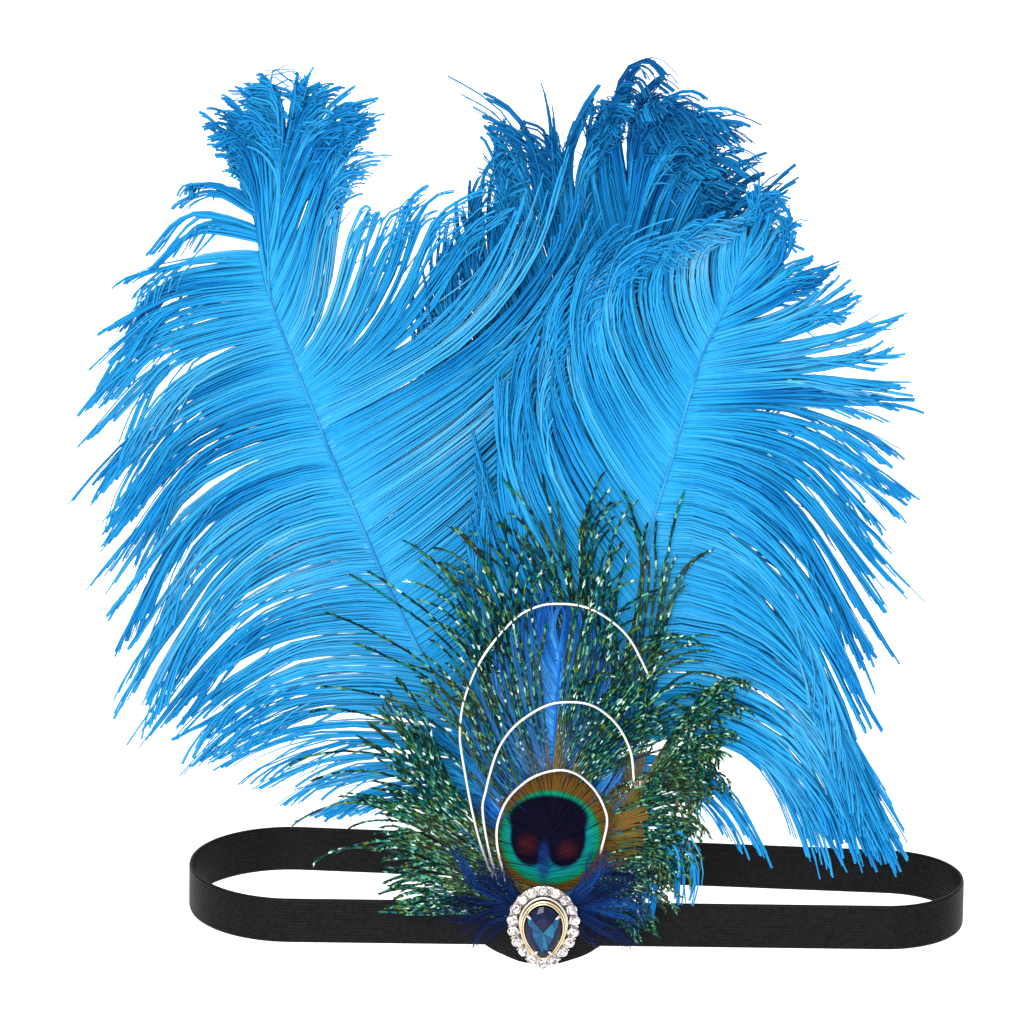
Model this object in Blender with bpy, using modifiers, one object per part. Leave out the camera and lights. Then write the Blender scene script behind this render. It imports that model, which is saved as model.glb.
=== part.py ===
"""Feather headband: an elastic loop with ostrich plumes, a peacock fan, curled wires and a pear brooch.

Sizes are millimetres and are turned to metres where points are made. +X is the wearer's left as seen
from the front, +Y goes from the ornament to the back of the loop, +Z is up. The origin is where the
head sits: in the middle of the open loop, half way up the band.
"""
import math

import bmesh
import bpy
import numpy as np
from mathutils import Vector

MM = 0.001

# Elastic band: the loop is drawn round two end circles, the left one larger
BAND_HEIGHT = 14.0
BAND_THICKNESS = 1.2
BAND_HALF_WIDTH = 118.0
BAND_FRONT_Y = -24.5
LEFT_END_RADIUS = 31.0
RIGHT_END_RADIUS = 24.0
BAND_ARC_STEPS = 16
BAND_STRAIGHT_STEPS = 8

# Round felt behind the band
FELT_RADIUS = 28.0
FELT_THICKNESS = 2.0
FELT_SIDES = 40
FELT_CENTRE_Z = 14.2
SEAT_GAP = 0.3

# The ornament stands on the band's front face, left of the middle
ORNAMENT_X = -10.0
FACE_Y = BAND_FRONT_Y - BAND_THICKNESS / 2

# The feathers lie in layers, one in front of the other. Each layer is thin where it is glued
# and grows with height: (name, thickness at the foot, thickness higher up)
LAYER_GAP = 0.7
LAYERS = (
    ("plume_middle", 1.2, 6.0),
    ("plume_left", 1.2, 6.5),
    ("plume_right", 1.2, 6.5),
    ("peacock_back", 0.7, 1.5),
    ("hackle", 0.6, 1.2),
    ("peacock_front", 0.9, 1.6),
    ("wire_outer", 0.9, 0.9),
    ("wire_middle", 0.9, 0.9),
    ("wire_inner", 0.9, 0.9),
    ("tuft", 1.0, 1.4),
)
GROW_FROM, GROW_OVER = 5.0, 85.0
LEAN, LEAN_FROM, LEAN_ROUNDING = 0.18, 40.0, 25.0
CREST_CURL, CREST_FROM, CREST_OVER = 20.0, 200.0, 90.0
SIDE_CURL, SIDE_FROM, SIDE_OVER = 10.0, 45.0, 100.0

# Feathers: quill points (x, z) from foot to tip, and one row for each edge between two locks:
# (share of the quill, tip x, tip z, angle at the quill, angle at the tip), angles in degrees from +X
PLUME_LEFT = {
    "layer": "plume_left",
    "quill": ((-11, 7), (-15, 19), (-22, 37), (-33, 60), (-41, 77), (-50, 93), (-59, 111), (-67, 129),
              (-76, 150), (-83, 167), (-89, 182), (-94, 194), (-95, 205), (-95, 215), (-93, 227), (-91, 239)),
    "left": ((0.02, -32, 7, 190, 200), (0.12, -52, 25, 180, 190), (0.20, -73, 42, 176, 184),
             (0.28, -95, 62, 174, 196), (0.33, -127, 63, 172, 228), (0.42, -138, 86, 172, 236),
             (0.51, -145, 107, 174, 238), (0.59, -150, 119, 176, 238), (0.66, -149, 137, 178, 234),
             (0.73, -151, 155, 180, 214), (0.79, -149, 174, 180, 200), (0.84, -145, 191, 178, 202),
             (0.88, -140, 206, 168, 214), (0.905, -131, 230, 146, 182), (0.92, -114, 243, 128, 140),
             (0.94, -113, 261, 112, 134), (0.97, -106, 267, 104, 126), (1.0, -97, 271, 98, 116)),
    "right": ((0.02, 7, 19, 20, 20), (0.12, 22, 56, 30, 30), (0.22, 30, 106, 45, 50),
              (0.32, 22, 157, 50, 60), (0.42, 14, 186, 46, 55), (0.51, 8, 207, 38, 54),
              (0.59, 0, 226, 34, 62), (0.67, -12, 249, 30, 76), (0.74, -24, 262, 32, 94),
              (0.80, -37, 249, 40, 94), (0.84, -47, 242, 50, 90), (0.875, -56, 242, 60, 88),
              (0.90, -64, 258, 68, 84), (0.93, -70, 264, 76, 84), (0.965, -78, 269, 82, 90),
              (1.0, -87, 271, 88, 100)),
}
PLUME_RIGHT = {
    "layer": "plume_right",
    "quill": ((-9, 8), (-6, 20), (-1, 44), (6, 71), (13, 93), (18, 112), (22, 135), (26, 148),
              (31, 167), (35, 181), (39, 190), (43, 198), (46, 207), (48, 216)),
    "left": ((0.02, -29, 16, 170, 170), (0.12, -42, 57, 150, 140), (0.24, -45, 95, 140, 128),
             (0.36, -41, 131, 136, 116), (0.48, -32, 158, 134, 112), (0.58, -23, 182, 134, 108),
             (0.66, -13, 200, 136, 100), (0.74, -5, 215, 142, 88), (0.80, 4, 224, 148, 72),
             (0.84, 16, 230, 150, 50), (0.875, 29, 232, 148, 34), (0.91, 39, 236, 140, 40),
             (0.95, 45, 239, 124, 60), (1.0, 51, 241, 102, 86)),
    "right": ((0.02, 22, 8, 0, -25), (0.10, 39, 13, 20, -75), (0.18, 57, 16, 30, -84),
              (0.26, 77, 18, 34, -60), (0.33, 92, 21, 30, -62), (0.40, 101, 35, 26, -62),
              (0.47, 94, 61, 20, -60), (0.54, 89, 84, 12, -62), (0.60, 85, 107, 6, -60),
              (0.66, 87, 127, 8, -50), (0.72, 97, 145, 6, -20), (0.77, 89, 161, -2, -12),
              (0.81, 94, 174, -2, 0), (0.845, 99, 187, 2, 12), (0.875, 93, 200, 12, 26),
              (0.905, 87, 212, 20, 38), (0.935, 78, 220, 32, 48), (0.965, 67, 229, 46, 62),
              (1.0, 58, 237, 64, 84)),
}
PLUME_MIDDLE = {
    "layer": "plume_middle",
    "quill": ((-10, 7), (-9, 21), (-9, 54), (-7, 91), (-3, 127), (1, 157), (6, 187), (12, 213), (14, 227)),
    "left": ((0.05, -32, 24, 160, 170), (0.20, -51, 66, 140, 140), (0.35, -58, 120, 126, 112),
             (0.48, -57, 168, 122, 104), (0.60, -50, 204, 120, 96), (0.70, -42, 231, 116, 92),
             (0.78, -35, 247, 112, 98), (0.84, -26, 259, 108, 106), (0.89, -16, 257, 104, 94),
             (0.93, -4, 259, 102, 92), (0.965, 4, 267, 98, 94), (1.0, 10, 268, 94, 88)),
    "right": ((0.05, 19, 25, 20, 0), (0.20, 47, 55, 30, -50), (0.32, 66, 87, 30, -66),
              (0.46, 66, 129, 34, -50), (0.58, 62, 165, 40, -20), (0.68, 54, 197, 46, 0),
              (0.76, 45, 217, 54, -50), (0.83, 41, 230, 60, -80), (0.89, 40, 243, 66, -66),
              (0.94, 35, 256, 72, -20), (1.0, 20, 266, 84, 60)),
}
PEACOCK_FRONT = {
    "layer": "peacock_front",
    "quill": ((-10, 9), (-9, 14), (-9, 19), (-9, 24), (-8, 29), (-8, 34), (-8, 39), (-8, 44), (-8, 49),
              (-8, 53), (-8, 57)),
    "left": ((0.00, -53, -1, 185, 185), (0.06, -67, 9, 176, 186), (0.14, -73, 22, 168, 186),
             (0.22, -68, 41, 160, 182), (0.30, -74, 64, 146, 160), (0.40, -69, 79, 138, 150),
             (0.50, -54, 94, 128, 112), (0.58, -73, 126, 122, 140), (0.66, -47, 113, 118, 104),
             (0.76, -38, 145, 112, 108), (0.85, -27, 142, 104, 98), (0.93, -18, 140, 98, 94),
             (1.00, -11, 150, 93, 90)),
    "right": ((0.00, 7, 3, -10, -30), (0.10, 22, 18, 10, -30), (0.20, 34, 29, 20, -40),
              (0.30, 40, 51, 30, -30), (0.40, 47, 73, 38, -20), (0.50, 48, 90, 44, -6),
              (0.60, 51, 104, 50, 0), (0.70, 49, 126, 56, 0), (0.78, 26, 143, 66, 50),
              (0.86, 17, 141, 74, 70), (0.93, 6, 148, 82, 76), (1.00, -3, 140, 87, 86)),
}
PEACOCK_BACK = {
    "layer": "peacock_back",
    "quill": ((-5, 9), (1, 21), (8, 33), (14, 42), (19, 51)),
    "left": ((0.0, -14, 17, 150, 150), (0.3, -12, 59, 120, 110), (0.6, -3, 91, 110, 100),
             (0.8, 6, 106, 100, 92), (1.0, 13, 112, 94, 88)),
    "right": ((0.0, 25, 9, 0, -40), (0.2, 34, 18, 10, -50), (0.4, 40, 39, 20, -40), (0.6, 43, 60, 34, -30),
              (0.8, 47, 83, 46, -10), (0.9, 39, 101, 60, 30), (1.0, 26, 113, 80, 70)),
}
HACKLE = {
    "layer": "hackle",
    "quill": ((-10, 9), (-9, 24), (-8, 53), (-7, 79), (-6, 95)),
    "left": ((0.0, -26, 14, 160, 160), (0.3, -33, 49, 120, 110), (0.6, -32, 79, 112, 96),
             (0.8, -26, 93, 106, 84), (0.92, -20, 103, 100, 76), (1.0, -12, 108, 94, 84)),
    "right": ((0.0, 7, 14, 20, 20), (0.3, 19, 50, 60, 70), (0.6, 19, 80, 66, 86), (0.8, 15, 93, 72, 96),
              (0.92, 9, 103, 78, 104), (1.0, 0, 108, 86, 96)),
}
TUFT_LEFT = {
    "layer": "tuft",
    "quill": ((-13, 11), (-18, 12), (-23, 13)),
    "left": ((0.0, -27, -3, 215, 235), (0.3, -35, 3, 205, 220), (0.6, -41, 9, 190, 200),
             (1.0, -44, 17, 176, 172)),
    "right": ((0.0, -23, 26, 140, 130), (0.3, -29, 31, 140, 140), (0.6, -35, 30, 150, 150),
              (1.0, -41, 25, 164, 160)),
}
TUFT_RIGHT = {
    "layer": "tuft",
    "quill": ((-6, 11), (-1, 12), (5, 14)),
    "left": ((0.0, 4, 29, 50, 60), (0.3, 12, 31, 40, 46), (0.6, 19, 28, 26, 30), (1.0, 23, 21, 12, 14)),
    "right": ((0.0, 7, -1, -40, -50), (0.3, 17, 2, -26, -34), (0.6, 23, 8, -8, -18), (1.0, 24, 15, 4, 4)),
}

# The round eye of the peacock feather widens its quill: (middle, half height) as quill shares
EYE_HALF_WIDTH = 14.5
EYE_MIDDLE, EYE_REACH = 0.52, 0.33
EYE_STALK_HALF_WIDTH = 0.8

# Quills: thickness at the foot, and what is lost towards the tip
QUILL_THICKNESS, QUILL_THINNING = 2.4, 1.2
# Vanes, as shares of their layer's depth: thickness beside the quill and the bulge added half way
VANE_THICKNESS, VANE_BULGE = 0.42, 0.50
# Locks, as shares: depth where they part and at the tip, width where they part, and how far two
# neighbours stand apart in depth and differ in length
LOCK_THICKNESS, LOCK_TIP_THICKNESS = 0.75, 0.40
LOCK_WIDTH = 0.9
LOCK_LIFT = 0.12
LOCK_JAG = 0.05

# Curled wires: (x, z) along each, from the foot over the top to the free end
WIRE_DIAMETER = 0.9
WIRE_STEPS = 2
WIRES = {
    "inner": ((-13.0, 10.0), (-19.6, 12.7), (-22.7, 24.4), (-24.3, 32.9), (-24.1, 40.8), (-21.2, 49.1),
              (-16.1, 55.1), (-10.8, 58.3), (-5.1, 59.4), (-0.2, 57.8), (4.6, 53.0), (7.7, 46.7),
              (8.7, 40.6), (6.8, 29.7)),
    "middle": ((-13.0, 10.0), (-20.8, 13.4), (-25.8, 25.9), (-28.7, 43.4), (-27.8, 51.6), (-25.2, 63.0),
               (-21.7, 70.4), (-16.4, 76.0), (-9.5, 80.2), (-3.0, 81.2), (3.1, 80.4), (8.2, 77.3),
               (12.5, 72.2), (15.6, 64.6), (16.6, 55.0)),
    "outer": ((-13.0, 10.0), (-22.2, 14.2), (-29.5, 32.3), (-34.8, 60.6), (-35.8, 72.3), (-34.1, 82.9),
              (-28.9, 94.5), (-20.3, 105.1), (-13.8, 109.1), (-7.5, 110.3), (0.9, 109.5), (8.1, 106.0),
              (14.8, 99.8), (20.9, 88.5)),
}

# Pear brooch: halves of the line through the halo stones, its narrowing to the point, and depths
# measured from the brooch's back
BROOCH_CENTRE_Z = 6.6
BROOCH_BACK = 17.7
HALO_HALF_WIDTH, HALO_HALF_HEIGHT, HALO_NARROWING = 9.9, 11.8, 0.36
HALO_STONES = 18
HALO_STONE_DIAMETER = 3.2
HALO_GIRDLE = 2.4
STONE_SIDES = 8
SETTING_STEPS = 36
# (offset from the halo line, depth), from the back edge over both walls to the seat's edge
SETTING_PROFILE = ((2.2, 0.0), (2.3, 1.4), (1.95, 1.6), (1.7, 0.8), (-1.7, 0.8), (-2.0, 2.2), (-2.8, 2.2),
                   (-3.0, 1.0))
PEAR_HALF_WIDTH, PEAR_HALF_HEIGHT, PEAR_NARROWING = 5.8, 8.3, 0.55
PEAR_CENTRE_Z = -1.3
# (share of the pear's outline, depth), from the back point to the table
PEAR_RINGS = ((0.25, 1.5), (1.0, 2.9), (1.0, 3.2), (0.82, 4.0), (0.55, 4.6))
PEAR_SIDES = 16
# Claws round the pear: (angle from its top in degrees), each a round bar that stands on the seat
CLAW_ANGLES = (55, 140, 220, 305)
CLAW_DIAMETER = 1.1
CLAW_HEIGHT = 2.9
CLAW_GAP = 0.35
CLAW_SIDES = 8
CLAW_ROOT = 0.3

MATERIALS = {
    "black_elastic": ((0.012, 0.012, 0.014), 0.85, 0.0),
    "black_felt": ((0.010, 0.010, 0.011), 0.95, 0.0),
    "azure_plume": ((0.02, 0.32, 0.78), 0.65, 0.0),
    "peacock_green": ((0.02, 0.12, 0.06), 0.45, 0.2),
    "royal_blue": ((0.01, 0.08, 0.50), 0.55, 0.0),
    "silver_wire": ((0.85, 0.84, 0.80), 0.25, 1.0),
    "silver_setting": ((0.80, 0.80, 0.80), 0.20, 1.0),
    "teal_stone": ((0.01, 0.16, 0.24), 0.05, 0.0),
    "clear_stone": ((0.90, 0.93, 0.95), 0.05, 0.0),
}


def clear_scene():
    for thing in list(bpy.data.objects):
        bpy.data.objects.remove(thing, do_unlink=True)


def make_materials():
    for name, (colour, roughness, metallic) in MATERIALS.items():
        material = bpy.data.materials.new(name)
        material.use_nodes = True
        shader = material.node_tree.nodes["Principled BSDF"]
        shader.inputs["Base Color"].default_value = (*colour, 1.0)
        shader.inputs["Roughness"].default_value = roughness
        shader.inputs["Metallic"].default_value = metallic
        material.diffuse_color = (*colour, 1.0)


def collection(name):
    made = bpy.data.collections.new(name)
    bpy.context.scene.collection.children.link(made)
    return made


def add_object(name, data, material, into):
    thing = bpy.data.objects.new(name, data)
    data.materials.append(bpy.data.materials[material])
    into.objects.link(thing)
    return thing


def mesh_from(bm, name):
    bmesh.ops.recalc_face_normals(bm, faces=bm.faces)
    mesh = bpy.data.meshes.new(name)
    bm.to_mesh(mesh)
    bm.free()
    return mesh


def smoothstep(value):
    value = min(1.0, max(0.0, value))
    return value * value * (3 - 2 * value)


def lean_back(z):
    height = max(0.0, z - LEAN_FROM)
    return LEAN * (math.hypot(height, LEAN_ROUNDING) - LEAN_ROUNDING)


def curl_forward(x, z):
    crest = CREST_CURL * smoothstep((z - CREST_FROM) / CREST_OVER)
    side = SIDE_CURL * smoothstep((abs(x - ORNAMENT_X) - SIDE_FROM) / SIDE_OVER)
    return crest + side


def layer_depths(layer, z):
    """How far a layer's back and front stand before the band's face at this height."""
    near = LAYER_GAP
    grown = smoothstep((z - GROW_FROM) / GROW_OVER)
    for name, at_foot, higher in LAYERS:
        far = near + at_foot + (higher - at_foot) * grown
        if name == layer:
            return near, far
        near = far + LAYER_GAP


def layer_point(layer, x, z, share):
    """Point of a layer, share 0 at its back and 1 at its front."""
    near, far = layer_depths(layer, z)
    y = FACE_Y + lean_back(z) - curl_forward(x, z) - (near + (far - near) * share)
    return Vector((x, y, z)) * MM


def band_path():
    """Centre line of the loop, seen from above: two end arcs joined by straight runs."""
    left = Vector((LEFT_END_RADIUS - BAND_HALF_WIDTH, BAND_FRONT_Y + LEFT_END_RADIUS))
    right = Vector((BAND_HALF_WIDTH - RIGHT_END_RADIUS, BAND_FRONT_Y + RIGHT_END_RADIUS))
    slope = math.atan2(right.y - left.y, right.x - left.x)
    back_normal = math.pi / 2 + 2 * slope
    front_normal = -math.pi / 2

    def arc(centre, radius, start, end):
        for k in range(BAND_ARC_STEPS + 1):
            angle = start + (end - start) * k / BAND_ARC_STEPS
            yield centre + Vector((math.cos(angle), math.sin(angle))) * radius

    def straight(start, end):
        for k in range(1, BAND_STRAIGHT_STEPS):
            yield start.lerp(end, k / BAND_STRAIGHT_STEPS)

    right_arc = list(arc(right, RIGHT_END_RADIUS, front_normal, back_normal))
    left_arc = list(arc(left, LEFT_END_RADIUS, back_normal, front_normal + 2 * math.pi))
    return (right_arc + list(straight(right_arc[-1], left_arc[0]))
            + left_arc + list(straight(left_arc[-1], right_arc[0])))


def elastic_band(into):
    bm = bmesh.new()
    half = BAND_HEIGHT / 2
    path = band_path()
    lower = [bm.verts.new(Vector((p.x, p.y, -half)) * MM) for p in path]
    upper = [bm.verts.new(Vector((p.x, p.y, half)) * MM) for p in path]
    for k in range(len(path)):
        after = (k + 1) % len(path)
        bm.faces.new((lower[k], lower[after], upper[after], upper[k]))
    band = add_object("elastic_band", mesh_from(bm, "elastic_band"), "black_elastic", into)
    wall = band.modifiers.new("wall", "SOLIDIFY")
    wall.thickness = BAND_THICKNESS * MM
    wall.offset = 0.0


def felt_backing(into):
    bm = bmesh.new()
    bmesh.ops.create_cone(bm, cap_ends=True, segments=FELT_SIDES, radius1=FELT_RADIUS * MM,
                          radius2=FELT_RADIUS * MM, depth=FELT_THICKNESS * MM)
    felt = add_object("felt_backing", mesh_from(bm, "felt_backing"), "black_felt", into)
    middle_y = BAND_FRONT_Y + BAND_THICKNESS / 2 + SEAT_GAP + FELT_THICKNESS / 2
    felt.rotation_euler = (math.pi / 2, 0, 0)
    felt.location = Vector((ORNAMENT_X, middle_y, FELT_CENTRE_Z)) * MM


def point_along(points, share):
    line = np.array(points, float)
    lengths = np.r_[0.0, np.cumsum(np.hypot(*np.diff(line, axis=0).T))]
    at = share * lengths[-1]
    return np.array([np.interp(at, lengths, line[:, 0]), np.interp(at, lengths, line[:, 1])])


def direction(degrees):
    return np.array([math.cos(math.radians(degrees)), math.sin(math.radians(degrees))])


def barb_point(root, row, s):
    """Point of a barb from its root at the quill (s 0) to its tip (s 1), a Hermite curve."""
    tip = np.array(row[1:3], float)
    start, end = row[3], row[4]
    pull = np.linalg.norm(tip - root) / math.cos(math.radians(abs(end - start)) / 4) ** 2
    return ((2 * s**3 - 3 * s**2 + 1) * root + (s**3 - 2 * s**2 + s) * pull * direction(start)
            + (3 * s**2 - 2 * s**3) * tip + (s**3 - s**2) * pull * direction(end))


def finer(rows, parts):
    """The rows with this many equal steps between two of them."""
    rows = np.array(rows, float)
    places = np.linspace(0, len(rows) - 1, (len(rows) - 1) * parts + 1)
    return [tuple(np.interp(at, range(len(rows)), column) for column in rows.T) for at in places]


def plain_quill(thick, thin):
    """Half width of a bare quill that tapers from foot to tip."""
    return lambda share: (thick + (thin - thick) * share) / 2


def eye_quill(share):
    """Half width of the peacock quill, which widens to the round eye."""
    across = 1 - ((share - EYE_MIDDLE) / EYE_REACH) ** 2
    return max(EYE_STALK_HALF_WIDTH, EYE_HALF_WIDTH * math.sqrt(max(0.0, across)))


def feather(name, design, material, into, half_width, steps=7, split=0.35, tip_width=0.18,
            foot=(12.0, 3), parts=1):
    """One feather as a closed sheet: a quill with a vane of locks on each side.

    The locks hang together up to the share `split` of their length, and taper apart beyond it.
    foot is the bare length of quill below the first barbs and its number of pieces, and parts is the
    number of locks made from one step of the table.
    """
    bm = bmesh.new()
    thickness = bm.verts.layers.float.new("thickness")
    lift = bm.verts.layers.float.new("lift")
    quill = design["quill"]
    layer = design["layer"]

    def add(point, share, raised=0.0):
        vert = bm.verts.new((point[0], 0.0, point[1]))
        vert[thickness] = share
        vert[lift] = raised
        return vert

    def quill_share(share, z):
        near, far = layer_depths(layer, z)
        return min(1.0, (QUILL_THICKNESS - QUILL_THINNING * share) / (far - near))

    def edge_of_quill(share, side):
        here = point_along(quill, share)
        ahead = point_along(quill, min(1.0, share + 0.02)) - point_along(quill, max(0.0, share - 0.02))
        ahead /= np.linalg.norm(ahead)
        return here + np.array([-ahead[1], ahead[0]]) * side * half_width(share)

    def vane(rows, side):
        """Locks of one side. Returns the quill's edge as (share, vertex)."""
        roots = [edge_of_quill(row[0], side) for row in rows]
        shares = [k / steps for k in range(steps + 1)]
        whole = [s for s in shares if s <= split]
        loose = [s for s in shares if s > split]
        joined = []
        for row, root in zip(rows, roots):
            line = [add(root, quill_share(row[0], root[1]))]
            line += [add(barb_point(root, row, s), VANE_THICKNESS + VANE_BULGE * math.sin(math.pi * s))
                     for s in whole[1:]]
            joined.append(line)
        for k in range(len(rows) - 1):
            low, high = joined[k], joined[k + 1]
            for j in range(len(whole) - 1):
                bm.faces.new((low[j], low[j + 1], high[j + 1], high[j]))
            middle_row = [(a + b) / 2 for a, b in zip(rows[k], rows[k + 1])]
            middle_root = (roots[k] + roots[k + 1]) / 2
            turn = 1 if k % 2 else -1
            before = (low[-1], high[-1])
            for s in loose:
                apart = (s - split) / (1 - split)
                along = s * (1 + turn * LOCK_JAG * apart)
                narrow = LOCK_WIDTH + (tip_width - LOCK_WIDTH) * apart
                thick = LOCK_THICKNESS + (LOCK_TIP_THICKNESS - LOCK_THICKNESS) * apart
                middle = barb_point(middle_root, middle_row, along)
                sides = []
                for row, root in ((rows[k], roots[k]), (rows[k + 1], roots[k + 1])):
                    edge = barb_point(root, row, along)
                    sides.append(add(middle + (edge - middle) * narrow, thick, turn * LOCK_LIFT * apart))
                bm.faces.new((before[0], sides[0], sides[1], before[1]))
                before = sides
        return [(row[0], line[0]) for row, line in zip(rows, joined)]

    def fill_between(left, right):
        """Faces of the quill between its two edges, whose points need not face each other."""
        i = j = 0
        while i < len(left) - 1 or j < len(right) - 1:
            step_left = j == len(right) - 1 or (i < len(left) - 1 and left[i + 1][0] <= right[j + 1][0])
            if step_left:
                bm.faces.new((left[i][1], left[i + 1][1], right[j][1]))
                i += 1
            else:
                bm.faces.new((left[i][1], right[j + 1][1], right[j][1]))
                j += 1

    left = vane(finer(design["left"], parts), 1)
    right = vane(finer(design["right"], parts), -1)
    length, pieces = foot
    start = point_along(quill, 0.0)
    down = start - point_along(quill, 0.04)
    down /= np.linalg.norm(down)
    across = np.array([down[1], -down[0]]) * half_width(0.0)
    for side, edge in ((-1, left), (1, right)):
        for k in range(1, pieces + 1):
            edge.insert(0, (-k, add(start + down * length * k / pieces + across * side, 1.0)))
    fill_between(left, right)

    made = bmesh.ops.extrude_face_region(bm, geom=bm.faces[:])["geom"]
    behind = {v for v in made if isinstance(v, bmesh.types.BMVert)}
    for vert in bm.verts:
        middle = 0.5 + vert[lift]
        half = vert[thickness] / 2 * (-1 if vert in behind else 1)
        vert.co = layer_point(layer, vert.co.x, vert.co.z, middle + half)
    add_object(name, mesh_from(bm, name), material, into)


def smooth_path(points, steps):
    """Catmull-Rom curve through the points, with this many steps between two of them."""
    line = [Vector(p) for p in points]
    line = [line[0] * 2 - line[1]] + line + [line[-1] * 2 - line[-2]]
    out = []
    for a, b, c, d in zip(line, line[1:], line[2:], line[3:]):
        for k in range(steps):
            t = k / steps
            out.append(0.5 * (2 * b + (c - a) * t + (2 * a - 5 * b + 4 * c - d) * t**2
                              + (3 * b - a - 3 * c + d) * t**3))
    out.append(line[-2])
    return out


def curled_wire(which, into):
    path = [layer_point("wire_" + which, p.x, p.y, 0.5) for p in smooth_path(WIRES[which], WIRE_STEPS)]
    name = "silver_wire_" + which
    curve = bpy.data.curves.new(name, "CURVE")
    curve.dimensions = "3D"
    curve.bevel_depth = WIRE_DIAMETER / 2 * MM
    curve.bevel_resolution = 1
    curve.use_fill_caps = True
    spline = curve.splines.new("POLY")
    spline.points.add(len(path) - 1)
    for point, place in zip(spline.points, path):
        point.co = (*place, 1.0)
    add_object(name, curve, "silver_wire", into)


def pear_point(half_width, half_height, narrowing, angle):
    """Point of a pear outline, angle from its round top, the point of the pear below."""
    pinch = 1 - narrowing * ((1 - math.cos(angle)) / 2) ** 3
    return np.array([half_width * math.sin(angle) * pinch, half_height * math.cos(angle)])


def pear_outline(half_width, half_height, narrowing, count, offset=0.0):
    """Evenly spaced points of a pear outline, moved outwards by the offset."""
    fine = [pear_point(half_width, half_height, narrowing, 2 * math.pi * k / 720) for k in range(721)]
    out = []
    for k in range(count):
        here = point_along(fine, k / count)
        ahead = point_along(fine, (k + 0.3) / count) - point_along(fine, ((k - 0.3) / count) % 1.0)
        ahead /= np.linalg.norm(ahead)
        out.append(here + np.array([-ahead[1], ahead[0]]) * offset)
    return out


def brooch_place(point, depth):
    x = ORNAMENT_X + point[0]
    return Vector((x, FACE_Y - BROOCH_BACK - depth, BROOCH_CENTRE_Z + point[1])) * MM


def loft(name, rings):
    """Closed mesh through rings of equal count, with both end rings filled."""
    bm = bmesh.new()
    loops = [[bm.verts.new(co) for co in ring] for ring in rings]
    for first, second in zip(loops, loops[1:]):
        for k in range(len(first)):
            after = (k + 1) % len(first)
            bm.faces.new((first[k], first[after], second[after], second[k]))
    bm.faces.new(loops[0])
    bm.faces.new(reversed(loops[-1]))
    return mesh_from(bm, name)


def halo_line(count, offset=0.0):
    return pear_outline(HALO_HALF_WIDTH, HALO_HALF_HEIGHT, HALO_NARROWING, count, offset)


def brooch_setting(into, tools):
    rings = [[brooch_place(p, depth) for p in halo_line(SETTING_STEPS, offset)]
             for offset, depth in SETTING_PROFILE]
    setting = add_object("brooch_setting", loft("brooch_setting", rings), "silver_setting", into)
    seat_depth = SETTING_PROFILE[-1][1]
    for angle in CLAW_ANGLES:
        turn = math.radians(angle)
        edge = pear_point(PEAR_HALF_WIDTH, PEAR_HALF_HEIGHT, PEAR_NARROWING, turn)
        outwards = np.array([math.sin(turn), math.cos(turn)])
        place = edge + outwards * (CLAW_GAP + CLAW_DIAMETER / 2) + np.array([0.0, PEAR_CENTRE_Z])
        bm = bmesh.new()
        bmesh.ops.create_cone(bm, cap_ends=True, segments=CLAW_SIDES, radius1=CLAW_DIAMETER / 2 * MM,
                              radius2=CLAW_DIAMETER / 2 * MM, depth=CLAW_HEIGHT * MM)
        claw = add_object("claw", mesh_from(bm, "claw"), "silver_setting", tools)
        claw.rotation_euler = (math.pi / 2, 0, 0)
        claw.location = brooch_place(place, seat_depth - CLAW_ROOT + CLAW_HEIGHT / 2)
        claw.hide_render = True
        claw.display_type = "WIRE"
        join = setting.modifiers.new("claw", "BOOLEAN")
        join.operation = "UNION"
        join.solver = "EXACT"
        join.object = claw


def pear_stone(into):
    rings = []
    for share, depth in PEAR_RINGS:
        outline = pear_outline(PEAR_HALF_WIDTH * share, PEAR_HALF_HEIGHT * share, PEAR_NARROWING, PEAR_SIDES)
        rings.append([brooch_place(p + np.array([0.0, PEAR_CENTRE_Z]), depth) for p in outline])
    add_object("pear_stone", loft("pear_stone", rings), "teal_stone", into)


def halo_stones(into):
    """Round cut stones: an octagonal table, a crown, a thin girdle and a blunt pavilion."""
    radius = HALO_STONE_DIAMETER / 2
    cut = ((0.2, -1.2), (1.0, -0.1), (1.0, 0.1), (0.58, 0.8))
    for number, middle in enumerate(halo_line(HALO_STONES), 1):
        rings = []
        for share, depth in cut:
            turns = [2 * math.pi * (k + 0.5) / STONE_SIDES for k in range(STONE_SIDES)]
            ring = [middle + np.array([math.cos(t), math.sin(t)]) * radius * share for t in turns]
            rings.append([brooch_place(p, HALO_GIRDLE + depth) for p in ring])
        name = f"halo_stone_{number:02d}"
        add_object(name, loft(name, rings), "clear_stone", into)


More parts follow.
